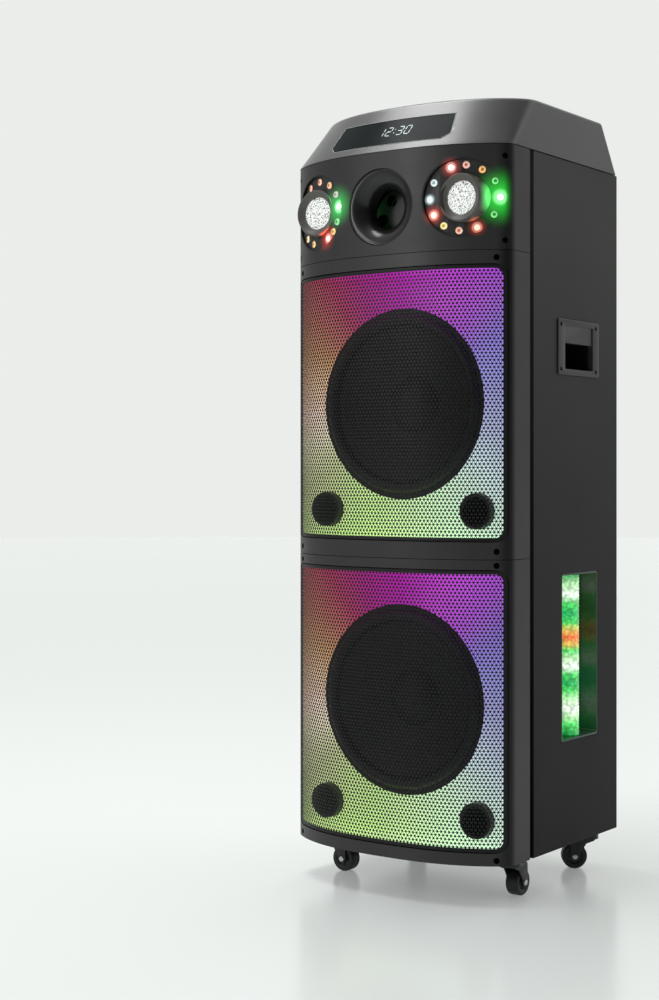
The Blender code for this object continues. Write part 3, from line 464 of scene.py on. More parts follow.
def in_order(mesh):
    """The same mesh in a fixed order of points and faces. A boolean leaves them in a chance order."""
    points = sorted(range(len(mesh.vertices)), key=lambda index: tuple(mesh.vertices[index].co))
    rank = {old: new for new, old in enumerate(points)}
    faces = []
    for face in mesh.polygons:
        corners = [rank[index] for index in face.vertices]
        first = corners.index(min(corners))
        faces.append((corners[first:] + corners[:first], face.material_index))
    faces.sort()
    ordered = bpy.data.meshes.new(mesh.name)
    ordered.from_pydata([mesh.vertices[index].co for index in points], [], [face for face, _ in faces])
    for material in mesh.materials:
        ordered.materials.append(material)
    for face, (_, material) in zip(ordered.polygons, faces):
        face.material_index = material
    return ordered


def settle(obj, smooth=35, ordered=False):
    """Replaces an object's mesh by what its modifiers make of it."""
    bpy.context.view_layer.update()
    graph = bpy.context.evaluated_depsgraph_get()
    mesh = bpy.data.meshes.new_from_object(obj.evaluated_get(graph))
    if ordered:
        mesh = in_order(mesh)
    obj.modifiers.clear()
    obj.data = mesh
    mesh.shade_smooth()
    mesh.set_sharp_from_angle(angle=radians(smooth))
    return obj


def carve(obj, cutters, operation="DIFFERENCE"):
    """Boolean with each cutter in turn, then the cutters go."""
    for cutter in cutters:
        modifier = obj.modifiers.new("cut", "BOOLEAN")
        modifier.operation = operation
        modifier.object = cutter
        modifier.solver = "EXACT"
    settle(obj, ordered=True)
    for cutter in cutters:
        bpy.data.objects.remove(cutter, do_unlink=True)
    return obj


def soften(obj, width, segments=2, angle=35):
    """Rounds the edges, after thin leftovers of the cuts are cleaned away."""
    bm = bmesh.new()
    bm.from_mesh(obj.data)
    bmesh.ops.remove_doubles(bm, verts=bm.verts, dist=0.00002)
    bmesh.ops.dissolve_degenerate(bm, edges=bm.edges, dist=0.00002)
    bm.to_mesh(obj.data)
    bm.free()
    bevel_edges(obj, width, segments, angle)
    return settle(obj, 40)


def bevel_edges(obj, width, segments, angle):
    bevel = obj.modifiers.new("edge", "BEVEL")
    bevel.width = width
    bevel.segments = segments
    bevel.limit_method = "ANGLE"
    bevel.angle_limit = radians(angle)
    bevel.use_clamp_overlap = True


def even(obj):
    """Normals weighted by area, so that flat faces shade flat right up to their rounded edges."""
    weighted = obj.modifiers.new("even", "WEIGHTED_NORMAL")
    weighted.keep_sharp = True
    return settle(obj, 40)


def paint(obj, material):
    """One material all over."""
    obj.data.materials.clear()
    obj.data.materials.append(MATERIALS.get(material, material))
    return obj


def darken(obj, chosen):
    """Black, unlit finish on the faces of a piece that a test picks out; at the bezel rims and the spotlight
    walls this is painted shade.
    """
    obj.data.materials.append(MATERIALS["well"])
    dark = len(obj.data.materials) - 1
    for face in obj.data.polygons:
        if chosen(face.center, face.normal):
            face.material_index = dark


def block(name, low, high, material=None, matrix=None):
    bm = bmesh.new()
    bmesh.ops.create_cube(bm, size=1)
    size = [b - a for a, b in zip(low, high)]
    middle = [(a + b) / 2 for a, b in zip(low, high)]
    bmesh.ops.transform(bm, matrix=Matrix.Translation(middle) @ Matrix.Diagonal((*size, 1)), verts=bm.verts)
    obj = build_object(name, bm, material)
    if matrix is not None:
        obj.data.transform(matrix)
    return obj


def extrusion(name, outline, depth, matrix, material=None):
    """A flat outline in X and Y, given half of its depth each way, then placed."""
    bm = bmesh.new()
    face = bm.faces.new([bm.verts.new((x, y, -depth / 2)) for x, y in outline])
    raised = bmesh.ops.extrude_face_region(bm, geom=[face])
    verts = [v for v in raised["geom"] if isinstance(v, bmesh.types.BMVert)]
    bmesh.ops.translate(bm, vec=(0, 0, depth), verts=verts)
    outward(bm, matrix)
    return build_object(name, bm, material)


def circle(bm, radius, height, steps, centre=(0, 0)):
    """A ring of vertices. The radius is a number or changes with the angle."""
    ring = []
    for step in range(steps):
        angle = 2 * pi * step / steps
        r = radius(angle) if callable(radius) else radius
        ring.append(bm.verts.new((centre[0] + r * cos(angle), centre[1] + r * sin(angle), height)))
    return ring


def bridge(bm, rings):
    """Faces between rings of vertices in turn. A ring may be a single point."""
    for lower, upper in zip(rings, rings[1:]):
        count = max(len(lower), len(upper))
        for i in range(count if count > 1 else 0):
            j = (i + 1) % count
            if len(lower) == 1:
                bm.faces.new((lower[0], upper[i], upper[j]))
            elif len(upper) == 1:
                bm.faces.new((lower[i], lower[j], upper[0]))
            else:
                bm.faces.new((lower[i], lower[j], upper[j], upper[i]))


def capped(bm, rings):
    """Bridged rings, with a flat face over each end."""
    bridge(bm, rings)
    bm.faces.new(rings[0][::-1])
    bm.faces.new(rings[-1])


def lathe(name, profile, matrix, material=None, steps=64, closed=True):
    """A profile of (radius, height) turned about +Z. Closed joins its last point to its first."""
    bm = bmesh.new()
    rings = []
    for radius, height in profile:
        centre = radius < 1e-7
        rings.append([bm.verts.new((0, 0, height))] if centre else circle(bm, radius, height, steps))
    if closed and len(rings[0]) > 1 and len(rings[-1]) > 1:
        rings.append(rings[0])
    bridge(bm, rings)
    outward(bm, matrix)
    return build_object(name, bm, material)


def turning(name, profile, matrix, material=None, steps=32):
    """A solid turned from a profile that starts and ends on the axis."""
    return lathe(name, profile, matrix, material, steps, False)


def rod(name, radius, low, high, matrix, steps=32, material=None):
    return turning(name, [(0, low), (radius, low), (radius, high), (0, high)], matrix, material, steps)


def join(name, objects):
    """One object from several, each keeping its own material."""
    bm = bmesh.new()
    materials = []
    for obj in objects:
        offset = len(materials)
        start = len(bm.faces)
        mesh = obj.data.copy()
        mesh.transform(obj.matrix_world)
        bm.from_mesh(mesh)
        bm.faces.ensure_lookup_table()
        for face in bm.faces[start:]:
            face.material_index += offset
        materials += list(obj.data.materials)
        bpy.data.objects.remove(obj, do_unlink=True)
    unique = list(dict.fromkeys(materials))
    for face in bm.faces:
        face.material_index = unique.index(materials[face.material_index])
    joined = build_object(name, bm, smooth=40)
    for material in unique:
        joined.data.materials.append(material)
    return joined


def show(obj, replaces=(), body="cabinet"):
    """A finished piece: the body it rides on, and the nodes it replaces."""
    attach(obj, body)
    if replaces:
        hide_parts(*replaces)
    return obj


def arc(centre, radius, start, end, steps):
    points = []
    for step in range(steps + 1):
        angle = radians(start + (end - start) * step / steps)
        points.append((centre[0] + radius * cos(angle), centre[1] + radius * sin(angle)))
    return points


def rounded_rectangle(half_x, half_y, radius, steps=6):
    outline = []
    for turn, (sx, sy) in enumerate([(1, 1), (-1, 1), (-1, -1), (1, -1)]):
        corner = (sx * (half_x - radius), sy * (half_y - radius))
        outline += arc(corner, radius, 90 * turn, 90 * turn + 90, steps)
    return outline


def divided(points, runs):
    """The same outline, with each edge cut into as many runs as a test asks for."""
    outline = []
    for index, a in enumerate(points):
        b = points[(index + 1) % len(points)]
        count = runs(index, a, b)
        for step in range(count):
            share = step / count
            outline.append((a[0] + (b[0] - a[0]) * share, a[1] + (b[1] - a[1]) * share))
    return outline


# ---------------------------------------------------------------- the bowed front

def fall(share, power, roundness):
    return 1 - max(0.0, 1 - abs(share) ** power) ** (1 / roundness)


def eased_corner(start, slope, side, steps=8):
    """From the end of a bow onto a straight side: a quadratic through the corner between them."""
    corner = (side, start[1] + slope * (side - start[0]))
    end = (side, corner[1] + dist(start, corner))
    points = []
    for step in range(1, steps + 1):
        share = step / steps
        a, b, c = (1 - share) ** 2, 2 * share * (1 - share), share ** 2
        points.append(tuple(a * p + b * q + c * r for p, q, r in zip(start, corner, end)))
    return points


def bowed(reach, height, ease, steps=96):
    """Points across a bow from one side to the other, with eased corners if asked."""
    limit = reach - ease
    points = []
    for step in range(steps + 1):
        x = limit * sin(pi / 2 * (2 * step / steps - 1))
        points.append((x, height(x)))
    if ease:
        slope = (height(limit) - height(limit - 0.0002)) / 0.0002
        corner = eased_corner(points[-1], slope, reach)
        points = [(-x, y) for x, y in corner[::-1]] + points + corner
    return points


def bow_y(x, inset=0.0):
    return FRONT + inset + (DEPTH - inset) * fall(x / (HALF - inset), POWER, ROUND)


def bow(inset, steps=96, ease=0.0):
    """Plan points along the bowed front, moved inwards."""
    return bowed(HALF - inset, lambda x: bow_y(x, inset), ease, steps)


def bow_normal(x, inset=0.0):
    step = 0.0005
    slope = (bow_y(x + step, inset) - bow_y(x - step, inset)) / (2 * step)
    return Vector((slope, -1, 0)).normalized()


def plan_prism(name, inset, rear, floor, roof, material=None, steps=96, ease=0.0):
    front = bow(inset, steps, ease)
    outline = front + [(front[-1][0], rear), (front[0][0], rear)]
    return extrusion(name, outline, roof - floor, at(0, 0, (floor + roof) / 2), material)


def moulding(name, floor, roof, cutters):
    """A front moulding: bowed wall and cheeks, open to the rear, with rounded edges."""
    shell = plan_prism(name, 0, CHEEK_REAR, floor, roof, "bezel", ease=EASE)
    inside = HALF - SKIN
    hollow = plan_prism("hollow", SKIN, 0.0, floor + SKIN, roof - SKIN)
    seat = block("seat", (-inside, TONGUE_FRONT - 0.0004, floor - 0.01), (inside, 0, roof + 0.01))
    carve(shell, [hollow, seat] + cutters)
    return even(soften(shell, 0.0011, 3))


def screw(x, y, z, normal, radius, sunk=0.0):
    """A cross-head screw: domed and proud of a thin plate, or at the bottom of a black cup."""
    matrix = at(x, y, z) @ turned_to(normal) @ at(0, 0, -sunk)
    size = radius * (0.72 if sunk else 1.0)
    dome = [(0, 0.30), (0.45, 0.27), (0.78, 0.17), (0.96, 0.03), (1.0, -0.08), (0, -0.08)]
    head = turning("screw", [(size * r, size * h) for r, h in dome], matrix, "screw")
    long, thin = size * 0.58, size * 0.12
    halves = ((thin, long), (long, thin))
    carve(head, [block("slot", (-a, -b, size * 0.10), (a, b, radius), None, matrix) for a, b in halves])
    if not sunk:
        return [head]
    wall, lip = radius - 0.0001, sunk - 0.0002
    cup = [(0, -0.0008), (wall, -0.0008), (wall, lip), (wall - 0.0005, lip + 0.0001)]
    cup += [(wall - 0.0006, -0.0002), (0, -0.0002)]
    return [head, turning("cup", cup, matrix, "well")]


def front_screws(x, levels, radius=0.0046, sunk=0.0030):
    """Screws near both sides of the bowed front, and the holes they sit in."""
    holes, screws = [], []
    for side, label in SIDES:
        for z in levels:
            normal = bow_normal(side * x)
            matrix = at(side * x, bow_y(x), z) @ turned_to(normal)
            holes.append(rod("hole", radius, -sunk - 0.0008, 0.004, matrix))
            screws += screw(side * x, bow_y(x), z, normal, radius, sunk)
    return holes, screws


def bezels():
    for name, module in MODULES.items():
        floor, roof = module["floor"], module["roof"] - SEAM_GAP
        z0, z1 = module["opening"]
        middle, half_z = (z0 + z1) / 2, (z1 - z0) / 2
        holes, screws = front_screws(0.1752, ((floor + z0) / 2 - 0.001, (roof + z1) / 2 - 0.001))
        outline = rounded_rectangle(OPENING_HALF, half_z, OPENING_CORNER, 12)
        opening = extrusion("opening", outline, 0.09, at(0, -0.171, middle) @ FACING_FRONT)
        shell = moulding(name + "_bezel_skin", floor, roof, [opening] + holes)
        margin = 0.0009

        def rim(centre, normal):
            x, z = centre.x, centre.z - middle
            across = normal.x * x < -0.3 * abs(x) or normal.z * z < -0.3 * abs(z)
            return abs(x) < OPENING_HALF + margin and abs(z) < half_z + margin and across

        # Painted shade: the inner return of the opening is turned black, where shade falls round the grille
        darken(shell, rim)
        show(shell, [name + "_bezel"])
        show(join(name + "_bezel_screws", screws))


# ---------------------------------------------------------------- grilles

PITCH = 0.0060
DOT_RADIUS = 0.00168
BAR_HALF = 0.00040
SHEET_INSET = 0.0015
SHEET_THICK = 0.0006
PERFORATED_HALF = 0.1825
PERFORATED_MARGIN = 0.0065


def arc_table(steps=1600):
    """Distance along the sheet's bow from its middle, with the plan point there."""
    table = [(0.0, 0.0, bow_y(0, SHEET_INSET))]
    for step in range(1, steps + 1):
        x = (HALF - SHEET_INSET) * sin(pi / 2 * step / steps)
        y = bow_y(x, SHEET_INSET)
        last = table[-1]
        table.append((last[0] + hypot(x - last[1], y - last[2]), x, y))
    return table


def along(table, distance):
    """Plan point and outward normal at a distance along the bow, to either side of the middle."""
    target = abs(distance)
    index = min(bisect_right(table, target, key=lambda row: row[0]) - 1, len(table) - 2)
    a, b = table[index], table[index + 1]
    share = (target - a[0]) / max(b[0] - a[0], 1e-12)
    x, y = a[1] + (b[1] - a[1]) * share, a[2] + (b[2] - a[2]) * share
    run = hypot(b[1] - a[1], b[2] - a[2])
    tx, ty = (b[1] - a[1]) / run, (b[2] - a[2]) / run
    side = 1 if distance >= 0 else -1
    return side * x, y, side * ty, -tx


def distance_at(table, x):
    for a, b in zip(table, table[1:]):
        if b[1] >= x:
            return a[0] + (b[0] - a[0]) * (x - a[1]) / (b[1] - a[1])
    return table[-1][0]


def inside_rounded(x, z, half_x, half_z, radius):
    dx = max(abs(x) - (half_x - radius), 0)
    dz = max(abs(z) - (half_z - radius), 0)
    return hypot(dx, dz) <= radius


def grille(name, module):
    """A perforated sheet on the bow, and the plain border that frames it."""
    table = arc_table()
    z0, z1 = module["opening"]
    centre = (z0 + z1) / 2
    half_z = (z1 - z0) / 2 - PERFORATED_MARGIN
    reach = distance_at(table, PERFORATED_HALF)

    def place(s, z, depth):
        x, y, nx, ny = along(table, s)
        return (x - nx * depth, y - ny * depth, centre + z)

    perforated_sheet(name + "_perforated_sheet", name + "_grille", place, reach, half_z)
    outer = distance_at(table, OPENING_HALF - 0.0005)
    tall = half_z + PERFORATED_MARGIN
    sizes = [
        (reach, half_z, 0.0125, 0.0010),
        (reach, half_z, 0.0125, -0.0002),
        (reach + 0.0006, half_z + 0.0006, 0.0128, -0.0004),
        (outer - 0.0012, tall - 0.0014, 0.0162, -0.0003),
        (outer - 0.0002, tall - 0.0006, 0.0168, 0.0008),
        (outer - 0.0002, tall - 0.0006, 0.0168, 0.0030),
    ]
    corner, straight = 12, 48
    bm = bmesh.new()
    loops = []
    for half_s, half_height, radius, depth in sizes:
        points = rounded_rectangle(half_s, half_height, radius, corner)
        outline = divided(points, lambda index, a, b: 1 if (index + 1) % (corner + 1) else straight)
        loops.append([bm.verts.new(place(s, z, depth)) for s, z in outline])
    for inner, around in zip(loops, loops[1:]):
        bridge(bm, [around, inner])
    outward(bm)
    show(build_object(name + "_grille_border", bm, "mesh"))


def perforated_sheet(name, node, place, reach, half_z):
    """Round dots in staggered rows, joined by thin bars."""
    row = PITCH * sqrt(3) / 2
    rows, columns = int(half_z / row) + 1, int(reach / PITCH) + 1
    delta = asin(BAR_HALF / DOT_RADIUS)
    vertices, faces, rings = [], [], {}

    def vertex(s, z, depth):
        vertices.append(place(s, z, depth))
        return len(vertices) - 1

    for j in range(-rows, rows + 1):
        for i in range(-columns, columns + 1):
            s, z = (i + 0.5 * (j % 2)) * PITCH, j * row
            if not inside_rounded(s, z, reach + 0.0022, half_z + 0.0022, 0.013):
                continue
            front, rear = [], []
            for k in range(6):
                for sign in (-1, 1):
                    angle = radians(60 * k) + sign * delta
                    p = (s + DOT_RADIUS * cos(angle), z + DOT_RADIUS * sin(angle))
                    front.append(vertex(*p, 0.0))
                    rear.append(vertex(*p, SHEET_THICK))
            rings[(i, j)] = (front, rear)
            faces.append(front)
            for k in range(6):
                a, b = 2 * k + 1, (2 * k + 2) % 12
                faces.append((front[b], front[a], rear[a], rear[b]))
    for (i, j), (front, rear) in rings.items():
        shift = j % 2
        for k, other in enumerate(((i + 1, j), (i + shift, j + 1), (i - 1 + shift, j + 1))):
            if other not in rings:
                continue
            far_front, far_rear = rings[other]
            a, b, c, d = 2 * k, 2 * k + 1, 2 * k + 6, 2 * k + 7
            faces.append((front[b], front[a], far_front[d], far_front[c]))
            faces.append((front[a], rear[a], far_rear[d], far_front[d]))
            faces.append((rear[b], front[b], far_front[c], far_rear[c]))
    mesh = bpy.data.meshes.new(name)
    mesh.from_pydata(vertices, [], faces)
    show(link_object(name, mesh, "mesh"), [node])


# ---------------------------------------------------------------- lit panels and woofers

def reflector(name, module):
    """A tray behind the grille: a flat back and walls that reach up to the bowed front, lit inside."""
    z0, z1 = module["opening"]
    middle, half_z = (z0 + z1) / 2, (z1 - z0) / 2
    material = rainbow_material(name + "_rainbow", module["woofer"])
    low, high = (-0.1848, -0.22, z0 + 0.0035), (0.1848, -0.1346, z1 - 0.0035)
    tray = block(name + "_reflector_tray", low, high, material)
    carve(tray, [block("inner", (-0.1836, -0.23, z0 + 0.0047), (0.1836, -0.137, z1 - 0.0047))])
    carve(tray, [plan_prism("bow", 0.0046, -0.05, z0 - 0.02, z1 + 0.02, None, 48)], "INTERSECT")
    cutters = [rod("disc", 0.1445, -0.02, 0.02, at(0, -0.136, module["woofer"]) @ FACING_FRONT, 96)]
    for side, label in SIDES:
        matrix = at(side * PORT_X, -0.136, module["port"]) @ FACING_FRONT
        cutters.append(rod("port", 0.0271, -0.01, 0.01, matrix, 48))
    paint(carve(tray, cutters), material)

    def outside(centre, normal):
        x, z = centre.x, centre.z - middle
        outer = abs(z) > half_z - 0.0049
        across = abs(x) > 0.1830 and normal.x * x > 0.5 * abs(x)
        upright = outer and normal.z * z > 0.5 * abs(z)
        return across or upright or (normal.y < -0.3 and (abs(x) > 0.1834 or outer))

    darken(tray, outside)
    show(tray, [name + "_light_panel"])


def woofer(name, module):
    """Frame, rolled surround, ribbed cone and dust cap, turned finely. Heights are towards the front."""
    matrix = at(0, -0.1341, module["woofer"]) @ FACING_FRONT
    frame_profile = [
        (0, -0.086), (0.070, -0.084), (0.128, -0.012), (0.137, -0.008), (0.137, 0), (0.1515, 0),
        (0.1525, -0.0008), (0.1525, -0.0027), (0.1405, -0.0027), (0.1405, -0.010), (0.078, -0.088),
        (0.085, -0.090), (0.085, -0.125), (0, -0.125),
    ]
    basket = turning(name + "_basket", frame_profile, matrix, "casting", 96)
    show(basket, [name + "_woofer_frame"])
    roll = arc((0.1275, 0.0014), 0.0085, 0, 180, 18)
    under = arc((0.1275, -0.0002), 0.0072, 180, 0, 18)
    profile = [(0.1415, 0.0004), (0.1415, 0.0016)] + roll + [(0.1181, 0.0016), (0.1181, 0.0004)] + under
    surround = lathe(name + "_surround_roll", profile, matrix, "rubber", 96)
    show(surround, [name + "_woofer_surround"])
    dome = arc((0, -0.075), 0.0622, 90, 45, 12)
    cone = [(0, dome[0][1])] + dome[1:]
    for step in range(1, 40):
        share = step / 40
        radius = dome[-1][0] + (0.1150 - dome[-1][0]) * share
        level = dome[-1][1] + (0.0012 - dome[-1][1]) * share ** 1.15
        cone.append((radius, level + 0.00035 * sin(share * pi * 24)))
    cone += [
        (0.1160, 0.0018), (0.1174, 0.0014), (0.1174, -0.0006), (0.0445, -0.0345), (0.034, -0.036),
        (0.034, -0.074), (0.0325, -0.074), (0.0325, -0.038), (0, -0.036),
    ]
    moving = turning(name + "_paper_cone", cone, matrix, "cone", 96)
    show(moving, [name + "_woofer_cone"], name + "_cone")
    flare = arc((0.0253, -0.0012), 0.0012, 0, 90, 3)
    turns = [radians(a) for a in (0, 20, 40, 60, 80, 90)]
    throat = [(0.0205 + 0.0040 * (1 - sin(a)), -0.0040 * (1 - cos(a))) for a in turns]
    profile = flare + throat + [(0.0205, -0.1095), (0.0265, -0.1095)]
    for side, label in SIDES:
        port_matrix = at(side * PORT_X, -0.1495, module["port"]) @ FACING_FRONT
        tube = lathe(f"{name}_port_flare_{label}", profile, port_matrix, "black")
        show(tube, [f"{name}_port_{label}"])


# ---------------------------------------------------------------- head

# Lamps round each spotlight: angle anticlockwise from three o'clock, colour, strength, radius of the halo
# painted round it on the moulding
LAMPS = {
    1: [
        (110, (1.0, 0.42, 0.38), 1.9, 0.020), (84, (1.0, 0.55, 0.45), 0.8, 0),
        (57, (1.0, 0.58, 0.12), 0.8, 0), (29, (0.12, 0.90, 0.20), 0.8, 0),
        (0, (0.26, 1.0, 0.34), 5.0, 0.052), (-32, (0.14, 0.92, 0.18), 0.8, 0),
        (-66, (1.0, 0.36, 0.20), 1.5, 0.018), (-96, (1.0, 0.58, 0.40), 0.8, 0),
        (-124, (1.0, 0.84, 0.30), 0.9, 0), (-151, (1.0, 0.34, 0.22), 2.2, 0.020),
        (180, (0.70, 0.88, 0.90), 1.0, 0.012), (150, (0.74, 0.90, 0.92), 0.9, 0),
    ],
    -1: [
        (118, (1.0, 0.52, 0.34), 0.9, 0), (86, (1.0, 0.56, 0.36), 0.9, 0),
        (56, (1.0, 0.55, 0.28), 0.9, 0), (30, (0.85, 0.85, 0.78), 0.6, 0),
        (6, (0.36, 1.0, 0.50), 3.4, 0.042), (-22, (0.26, 0.9, 0.34), 0.8, 0),
        (-42, (1.0, 0.66, 0.18), 0.9, 0), (-60, (1.0, 0.30, 0.20), 3.0, 0.026),
        (-106, (1.0, 0.66, 0.22), 0.9, 0), (-132, (1.0, 0.80, 0.36), 0.9, 0),
        (176, (0.7, 0.75, 0.74), 0.25, 0), (148, (0.7, 0.75, 0.74), 0.25, 0),
    ],
}
LAMP_CIRCLE = 0.0478
RECESS = 0.006


def lamp_place(side, degrees):
    """Where a lamp stands on the sunken plate, and the way it points."""
    angle = radians(degrees)
    x = side * SPOT_X + LAMP_CIRCLE * cos(angle)
    z = SPOT_Z + LAMP_CIRCLE * sin(angle)
    return Vector((x, bow_y(x, RECESS), z)), bow_normal(x, RECESS)


def painted_lamp_glow_material(name, base, specular, turned=False):
    """Moulding with the light of its brightest lamps painted on as glow: a coloured halo and a pale painted
    highlight round each, or only on faces turned to them as a painted reflection. Unturned, it also gets
    painted corner shade.
    """
    made = Shader(name, base, 0.38)
    made.set("Specular IOR Level", specular)
    made.tint(base, 0.10, 14)
    made.vary_roughness(0.34, 0.46, 30)
    made.bump(made.noise(900, 2), 0.12, 0.0004)
    if not turned:
        # Painted shade at the corners of the head moulding
        made.paint_corner_shade(0.35)
    facing = made.add("TexCoord").outputs["Normal"]
    forward = made.span(made.calc("ABSOLUTE", made.axis("X")), 0.1930, 0.1815, smooth=True)
    total = None
    bright = [(side, lamp) for side, lamps in LAMPS.items() for lamp in lamps if lamp[3]]
    for side, (degrees, colour, strength, reach) in bright:
        place, _ = lamp_place(side, degrees)
        gap = made.vector("DISTANCE", made.place, place)
        near = min(0.50, 0.20 + 0.09 * strength) * 7.0 if turned else min(0.74, 0.30 + 0.11 * strength)
        halo = made.span(gap, 0.003, reach, near, 0.0, True)
        core = made.span(gap, 0.004, 0.0065 + reach * 0.15, 0.0 if turned else 0.95, 0.0, True)
        if turned:
            ray = made.vector("NORMALIZE", made.vector("SUBTRACT", place, made.place))
            halo = made.calc("MULTIPLY", made.vector("DOT_PRODUCT", ray, facing), halo, use_clamp=True)
        else:
            halo = made.calc("POWER", halo, 1.5)
        deep = tuple(c ** (1.6 if turned else 2.6) for c in colour)
        pale = tuple(c * 0.75 + 0.25 for c in colour)
        for tone, level in ((deep, halo), (pale, core)):
            part = made.vector("SCALE", tone, level)
            total = part if total is None else made.vector("ADD", total, part)
    made.glow(made.vector("SCALE", total, forward), 1.0)
    return made.material


def lamp_material(name, colour, strength, place):
    """A small lit lens: a bright ring round a darker chip, or bright across when it is driven hard."""
    made = Shader(name, colour, 0.12)
    across = made.span(made.vector("DISTANCE", made.place, place), 0.0024, 0.0052)
    pale = tuple(c * 0.65 + 0.35 for c in colour)
    chip = pale if strength > 0.95 else tuple(c * c * 0.22 for c in colour)
    dim = tuple(c * c * 0.5 for c in colour)
    stops = [(0.05, chip), (0.25, chip), (0.45, pale), (0.82, colour), (1.0, dim)]
    made.glow(made.ramp(across, stops), strength, 0.6)
    made.tint(dim, 0.15, 500)
    return made.material


def head():
    # The head moulding and the collars glow with painted lamp light
    lit = painted_lamp_glow_material("charcoal_with_painted_lamp_glow", CHARCOAL, 0.3)
    lit_collar = painted_lamp_glow_material("collar_with_painted_lamp_glow", (0.105, 0.100, 0.092), 0.4, True)
    cutters = [disc(0, OUTLET_Z, 0.0574)]
    cutters += [disc(side * SPOT_X, SPOT_Z, SPOT_RADIUS + 0.0004) for side, label in SIDES]
    holes, screws = front_screws(0.1850, (0.9668, 1.0890), 0.0044)
    shell = moulding("head_skin", HEAD_SEAM, CAP_SEAM - SEAM_GAP, cutters + holes)
    show(paint(shell, lit), ["head_panel"])
    show(join("head_screws", screws))
    for side, label in SIDES:
        spotlight(side, label, lit, lit_collar)
    nozzle()


def disc(x, z, radius, steps=96):
    """A cutter through the front."""
    return rod("disc", radius, -0.08, 0.08, at(x, -0.185, z) @ FACING_FRONT, steps)


def spotlight(side, label, lit, lit_collar):
    """Sunken ring plate with twelve lamps, tapered collar, and a crackled lens."""
    name = "spotlight_" + label
    axis_x = side * SPOT_X
    level = at(0, 0, SPOT_Z)
    plate = extrusion(name + "_ring", bow(0.0010) + bow(RECESS + SKIN)[::-1], 0.13, level, lit)
    carve(plate, [disc(axis_x, SPOT_Z, SPOT_RADIUS, 128)], "INTERSECT")
    sunk = extrusion("sunk", bow(-SKIN) + bow(RECESS)[::-1], 0.14, level)
    carve(sunk, [disc(axis_x, SPOT_Z, SPOT_RADIUS - 0.0012, 128)], "INTERSECT")
    carve(plate, [sunk, disc(axis_x, SPOT_Z, 0.030)])
    holes, lamps = [], []
    for index, (degrees, colour, strength, reach) in enumerate(LAMPS[side]):
        place, normal = lamp_place(side, degrees)
        matrix = Matrix.Translation(place) @ turned_to(normal)
        holes.append(turning("hole", [(0, -0.0012), (0.0058, -0.0012), (0.0063, 0.001), (0, 0.001)], matrix))
        ring = [
            (0.0060, -0.0011), (0.0060, 0.0003), (0.0057, 0.0007),
            (0.0053, 0.0006), (0.0050, 0.0), (0.0050, -0.0011),
        ]
        lamps.append(lathe("ring", ring, matrix, "chrome", 32))
        turns = [radians(a) for a in (0, 18, 36, 54, 72)]
        dome = [(0.0049 * cos(a), -0.0008 + 0.0034 * sin(a)) for a in turns]
        bulb = [(0, -0.0011), (0.0049, -0.0011)] + dome + [(0, 0.0026)]
        light = lamp_material(f"{name}_lamp_light_{index}", colour, strength, place)
        lamps.append(turning("lamp", bulb, matrix, light))
    carve(plate, holes)
    soften(plate, 0.0004)

    def wall(centre, normal):
        out = Vector((centre.x - axis_x, 0, centre.z - SPOT_Z))
        return out.length > SPOT_RADIUS - 0.0016 and out.normalized().dot(normal) < -0.5

    # Painted shade: the wall of the sunken plate is turned black, where shade falls in the recess
    darken(plate, wall)
    show(plate, ["spotlight_plate_" + label])
    profile = [
        (0.0365, 0.150), (0.0362, 0.170), (0.0350, 0.1812), (0.0342, 0.1826), (0.0333, 0.1830),
        (0.0322, 0.1826), (0.0300, 0.1806), (0.0262, 0.1788), (0.0250, 0.1780), (0.0250, 0.1734),
        (0.0200, 0.1734), (0.0200, 0.150),
    ]
    collar = lathe(name + "_collar", profile, at(axis_x, 0, SPOT_Z) @ FACING_FRONT, lit_collar, 96)
    show(collar)
    show(join(name + "_lamps", lamps))
    lens(side, label)


def lens(side, label):
    """A domed lens with irregular facets moulded into it."""
    bm = bmesh.new()
    radius, rings, steps = 0.0245, 22, 96
    rng = random.Random(11 + side)
    bumps = [(rng.uniform(-radius, radius), rng.uniform(-radius, radius)) for _ in range(150)]

    def height(x, y):
        near = sorted(hypot(x - a, y - b) for a, b in bumps)[:2]
        crack = min(1.0, (near[1] - near[0]) / 0.0012)
        base = 0.0047 * (1 - (hypot(x, y) / radius) ** 2)
        return 0.0004 + base + 0.0007 * crack

    rows = [[bm.verts.new((0, 0, height(0, 0)))]]
    for ring in range(1, rings + 1):
        row = circle(bm, radius * ring / rings, 0.0010, steps)
        for vertex in row if ring < rings else ():
            vertex.co.z = height(vertex.co.x, vertex.co.y)
        rows.append(row)
    rows.append(circle(bm, radius, 0.0002, steps))
    bridge(bm, rows)
    bm.faces.new(rows[-1][::-1])
    outward(bm, at(side * SPOT_X, -0.1735, SPOT_Z) @ FACING_FRONT)
    piece = build_object(f"spotlight_{label}_crackled_lens", bm, "crystal", 20)
    show(piece, ["spotlight_lens_" + label])


def nozzle():
    """A smooth flared horn with a rolled front rim."""
    rim = arc((0.0560, -0.0012), 0.0012, 0, 180, 8)
    outer = [(0.030, -0.034), (0.034, -0.034), (0.034, -0.028), (0.0570, -0.004)]
    turns = [radians(90 * step / 28) for step in range(1, 28)]
    inner = [
        (0.0550 - 0.0250 * sin(a) ** 1.15, -0.0012 - 0.0238 * (1 - cos(a)) ** 0.92) for a in turns
    ]
    matrix = at(0, FRONT + 0.0025, OUTLET_Z) @ FACING_FRONT
    profile = outer + rim + inner + [(0.0300, -0.025)]
    funnel = lathe("bubble_outlet_horn", profile, matrix, "horn", 128)
    show(funnel, ["bubble_nozzle"])


# ---------------------------------------------------------------- top cap

FILLER_Y = 0.112
KNOB_X, BUTTON_X, CONTROLS_Y = 0.060, -0.055, 0.012
WELL_FLOOR = 1.1734
WINDOW_Z = 1.140


